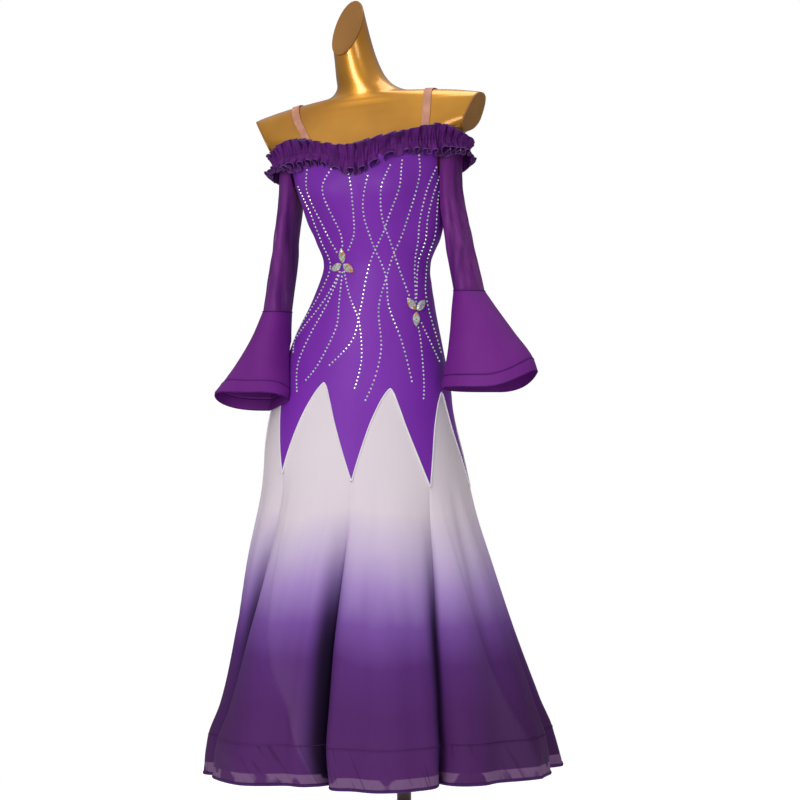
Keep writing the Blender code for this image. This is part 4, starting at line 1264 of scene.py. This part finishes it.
def cloud(tree, place, scale, detail, stretch=None):
    """Soft noise, drawn out lengthwise where its stretch is under 1."""
    if stretch is not None:
        place = node(tree, "Mapping", Vector=place, Scale=(1.0, 1.0, stretch))[0]
    return node(tree, "TexNoise", Vector=place, Scale=scale, Detail=detail)[0]


def weave(tree, inputs):
    """Height of crossed threads, along the cloth's own map in metres."""
    flat = node(tree, "UVMap", {"uv_map": "threads"})[0]
    scaled = node(tree, "VectorMath", {"operation": "SCALE"}, Vector=flat, Scale=inputs["Threads"])[0]
    across, along, _up = node(tree, "SeparateXYZ", Vector=scaled)
    crossed = worked(tree, "MULTIPLY", worked(tree, "SINE", across), worked(tree, "SINE", along))
    slubs = worked(tree, "MULTIPLY", cloud(tree, scaled, 0.11, 2.0), inputs["Slub"])
    return worked(tree, "ADD", crossed, slubs)


def shade_patches(tree, inputs):
    """Broad soft patches from 0 to 1, drawn out lengthwise."""
    patches = cloud(tree, on_piece(tree), inputs["Scale"], 3.0, 0.22)
    return ramp(tree, patches, ((0.30, 0.0), (0.70, 1.0)))


def dip_dye_with_painted_light(tree, _inputs):
    """The dye's colour by height, from off-white over lilac and violet to deep purple.

    It lightens a little with a painted highlight on the raised side of a pleat, and painted shade darkens it
    in the folds and low at the sides.
    """
    place = on_piece(tree)
    across, _ahead, height = node(tree, "SeparateXYZ", Vector=place)
    seep = worked(tree, "SUBTRACT", cloud(tree, place, 9.0, 3.0, 0.14), 0.5)
    seeped = worked(tree, "ADD", height, worked(tree, "MULTIPLY", seep, DYE_SEEP))
    share = worked(tree, "DIVIDE", seeped, DYE_TOP)
    dyed_with_painted_light = ramp(tree, share, tuple((level / DYE_TOP, colour) for level, colour in DYE_STOPS))
    fold, pleat_highlight = (node(tree, "Attribute", {"attribute_name": mark})["Fac"] for mark in ("fold", "pleat_highlight"))
    # Painted highlight: a little paler on the raised side of a pleat
    dyed_with_painted_light = blended(tree, worked(tree, "MULTIPLY", pleat_highlight, 0.07), dyed_with_painted_light, PLEAT_HIGHLIGHT)
    # Painted shade: low on the sides, which turn away from the lights, the colour darkens
    from_middle = worked(tree, "ABSOLUTE", worked(tree, "ADD", across, 0.05))
    sides = ramp(tree, from_middle, ((0.17, 0.0), (0.33, 0.60)))
    low = ramp(tree, height, ((0.38, 1.0), (0.58, 0.0)))
    dyed_with_painted_light = blended(tree, worked(tree, "MULTIPLY", sides, low), dyed_with_painted_light, SIDE_SHADE)
    # Painted shade: the colour darkens towards near-black deep in the folds, where little light reaches
    return blended(tree, worked(tree, "MULTIPLY", fold, 0.97), dyed_with_painted_light, ramp(tree, fold, FOLD_SHADE_STOPS))


def blank(name):
    """A new material, its tree and its shader."""
    material = bpy.data.materials.new(name)
    material.use_nodes = True
    tree = material.node_tree
    return material, tree, tree.nodes["Principled BSDF"]


def cloth(name, effects, roughness, thread, relief, sheen=0.0):
    """A cloth with its weave in its bump, and the shader to give colour to."""
    material, tree, shader = blank(name)
    threads = placed(tree, effects["weave"], Threads=2 * math.pi / thread, Slub=SLUB)
    raised = node(tree, "Bump", Height=threads, Strength=relief, Distance=BUMP_DEPTH)[0]
    feed(tree, shader, Normal=raised, Roughness=roughness, Specular_IOR_Level=0.22)
    feed(tree, shader, Sheen_Weight=sheen, Sheen_Roughness=0.4)
    return material, tree, shader


def patched_cloth(effects, look):
    """A cloth in soft patches of two close colours."""
    material, tree, shader = cloth(look.name, effects, look.roughness, look.thread, look.relief, look.sheen)
    share = placed(tree, effects["patches"], Scale=look.patches)
    feed(tree, shader, Base_Color=blended(tree, share, look.dark, look.light))
    return material


def dyed_chiffon(effects):
    """The dip-dyed chiffon of the gores, with painted shade in its folds and low at its sides and a painted
    highlight on its pleats.
    """
    material, tree, shader = cloth("dyed_chiffon_painted_light_cloth", effects, *CHIFFON_FINISH)
    feed(tree, shader, Base_Color=placed(tree, effects["dye_with_painted_light"]))
    return material


def band_chiffon(effects):
    """The chiffon of the foot band, with its single-layer strip, painted shade along its slanted creases, and
    the dye's painted shade and highlight.
    """
    material, tree, shader = cloth("band_chiffon_cloth", effects, *CHIFFON_FINISH)
    flat = node(tree, "UVMap", {"uv_map": "threads"})[0]
    _across, down, _up = node(tree, "SeparateXYZ", Vector=flat)
    patchy = cloud(tree, on_piece(tree), 14.0, 2.0)
    wavering = worked(tree, "MULTIPLY", worked(tree, "SUBTRACT", patchy, 0.5), 0.03)
    edge = worked(tree, "ADD", worked(tree, "DIVIDE", down, BAND_CUT.length), wavering)
    lower = ramp(tree, edge, ((0.0, 0.0), (0.70, 0.0), (0.72, 1.0)))
    single = worked(tree, "MULTIPLY", lower, ramp(tree, patchy, ((0.46, 0.05), (0.50, 1.0))))
    dyed_with_painted_light = blended(tree, single, placed(tree, effects["dye_with_painted_light"]), SINGLE_LAYER)
    slanted = node(tree, "Mapping", Vector=flat, Rotation=(0.0, 0.0, CREASE_SLANT))[0]
    drawn_out = node(tree, "Mapping", Vector=slanted, Scale=(110.0, 9.0, 1.0))[0]
    # Painted shade along slanted creases
    crease_shade_mask = ramp(tree, cloud(tree, drawn_out, 1.0, 1.0), ((0.60, 0.0), (0.68, 0.45)))
    feed(tree, shader, Base_Color=blended(tree, crease_shade_mask, dyed_with_painted_light, CREASE_SHADE))
    return material


def sleeve_net(effects):
    """The sheer net of the sleeves, in lengthwise streaks."""
    material, tree, shader = cloth("violet_net_cloth", effects, 0.6, 0.0007, 0.15)
    streaks = cloud(tree, on_piece(tree), 60.0, 3.0, 0.07)
    tint = ramp(tree, streaks, ((0.36, 0.0), (0.80, 1.0)))
    sheer = ramp(tree, streaks, ((0.0, 0.98), (0.52, 0.95), (0.70, 0.80)))
    feed(tree, shader, Base_Color=blended(tree, tint, NET_DARK, NET_LIGHT), Alpha=sheer)
    return material


def make_materials():
    effects = {
        "weave": effect("crossed_threads", {"Threads": 9000.0, "Slub": SLUB}, "NodeSocketFloat", weave),
        "patches": effect("soft_patches", {"Scale": 8.0}, "NodeSocketFloat", shade_patches),
        "dye_with_painted_light": effect("dip_dye_with_painted_light", {}, "NodeSocketColor", dip_dye_with_painted_light),
    }
    made = {name: patched_cloth(effects, ClothLook(*look)) for name, look in PATCHED_CLOTHS.items()}
    made.update((name, lacquer(LacquerLook(*look))) for name, look in LACQUERS.items())
    made.update((name, stone(StoneLook(*look))) for name, look in STONES.items())
    made.update(chiffon=dyed_chiffon(effects), band=band_chiffon(effects), net=sleeve_net(effects))
    return made


def lacquer(look):
    """Sprayed or brushed metal finish, a little uneven in colour and gloss."""
    material, tree, shader = blank(look.name)
    place = on_piece(tree)
    share = ramp(tree, cloud(tree, place, 6.0, 3.0), ((0.35, 0.0), (0.65, 1.0)))
    fine = cloud(tree, place, 420.0, 2.0)
    rough = worked(tree, "ADD", look.roughness - 0.03, worked(tree, "MULTIPLY", fine, 0.06))
    peel = node(tree, "Bump", Height=fine, Strength=0.04, Distance=BUMP_DEPTH)[0]
    feed(tree, shader, Base_Color=blended(tree, share, look.dark, look.light), Roughness=rough)
    feed(tree, shader, Metallic=look.metallic, Coat_Weight=look.coat, Coat_Roughness=0.08, Normal=peel)
    return material


def stone(look):
    """Foil-backed stone in small cells of colour, very glossy, with a painted glow in its own colours."""
    material, tree, shader = blank(look.name)
    levels = between(0.36, 0.64, len(look.tints) - 1)
    tint = ramp(tree, cloud(tree, on_piece(tree), look.cells, 1.0), tuple(zip(levels, look.tints)))
    # Painted light: the stones glow in their tints, in place of the sparkle of their foil
    feed(tree, shader, Base_Color=tint, Emission_Color=tint, Emission_Strength=look.glow)
    feed(tree, shader, Metallic=0.5, Roughness=0.12, Coat_Weight=1.0, Coat_Roughness=0.03)
    return material


def build_floor():
    shape = bmesh.new()
    bmesh.ops.create_circle(
        shape, cap_ends=True, segments=96, radius=FLOOR_RADIUS, matrix=Matrix.Translation((0.0, 0.0, -0.0005))
    )
    paper, tree, shader = blank("white_floor")
    feed(tree, shader, Base_Color=(0.9, 0.9, 0.9, 1.0), Roughness=0.9)
    feed(tree, shader, Emission_Color=(1.0, 1.0, 1.0, 1.0), Emission_Strength=FLOOR_GLOW)
    finished("studio_floor", shape, paper)


def build_room():
    """A room that looks white, with the light on the dress falling mostly from above."""
    world = bpy.data.worlds.new("white_studio")
    bpy.context.scene.world = world
    world.use_nodes = True
    tree = world.node_tree
    seen = node(tree, "LightPath")["Is Camera Ray"]
    _across, _ahead, upwards = node(tree, "SeparateXYZ", Vector=node(tree, "TexCoord")["Generated"])
    room = ramp(tree, upwards, ((0.0, 0.22), (0.25, 0.20), (0.60, 0.42), (1.0, 0.55)))
    feed(tree, tree.nodes["Background"], Color=blended(tree, seen, room, (1.0, 1.0, 1.0)), Strength=1.0)


def build_lights():
    for name, place, aim, size, power in STUDIO_LIGHTS:
        lamp = bpy.data.lights.new(name, "AREA")
        lamp.shape = "RECTANGLE"
        lamp.size, lamp.size_y = size
        lamp.energy = power
        holder = bpy.data.objects.new(name, lamp)
        holder.location = place
        holder.rotation_euler = (Vector(aim) - Vector(place)).to_track_quat("-Z", "Y").to_euler()
        bpy.context.scene.collection.objects.link(holder)


def build_camera():
    """The camera at the photo's viewing angle, with colours shown as they are."""
    bpy.context.scene.view_settings.view_transform = "Standard"
    lens = bpy.data.cameras.new("photo_camera")
    lens.lens = CAMERA_LENS
    lens.sensor_width = CAMERA_SENSOR
    lens.clip_end = 60.0
    camera = bpy.data.objects.new("photo_camera", lens)
    turn = math.radians(CAMERA_TURN)
    camera.location = (
        math.sin(turn) * CAMERA_DISTANCE + math.cos(turn) * CAMERA_SHIFT,
        -math.cos(turn) * CAMERA_DISTANCE + math.sin(turn) * CAMERA_SHIFT,
        CAMERA_HEIGHT,
    )
    camera.rotation_euler = (math.pi / 2, 0.0, turn)
    bpy.context.scene.collection.objects.link(camera)
    bpy.context.scene.camera = camera


def main():
    finishes = make_materials()
    form = build_form(finishes["gold"], finishes["cap"])
    build_bodice(finishes["jersey"])
    build_skirt(finishes["chiffon"], finishes["band"], finishes["binding"])
    build_piping(finishes["piping"])
    build_ruffle(finishes["ruffle"], finishes["overlock"])
    for side in ("left", "right"):
        build_sleeve(side, finishes["net"], finishes["crepe"], finishes["edging"])
    build_straps(form, finishes["elastic"])
    build_stand(finishes["steel"])
    build_rhinestones(finishes["crystal"])
    for flower in FLOWERS:
        build_stone_flower(flower, finishes["petal"])
    build_floor()
    build_room()
    build_lights()
    build_camera()


main()
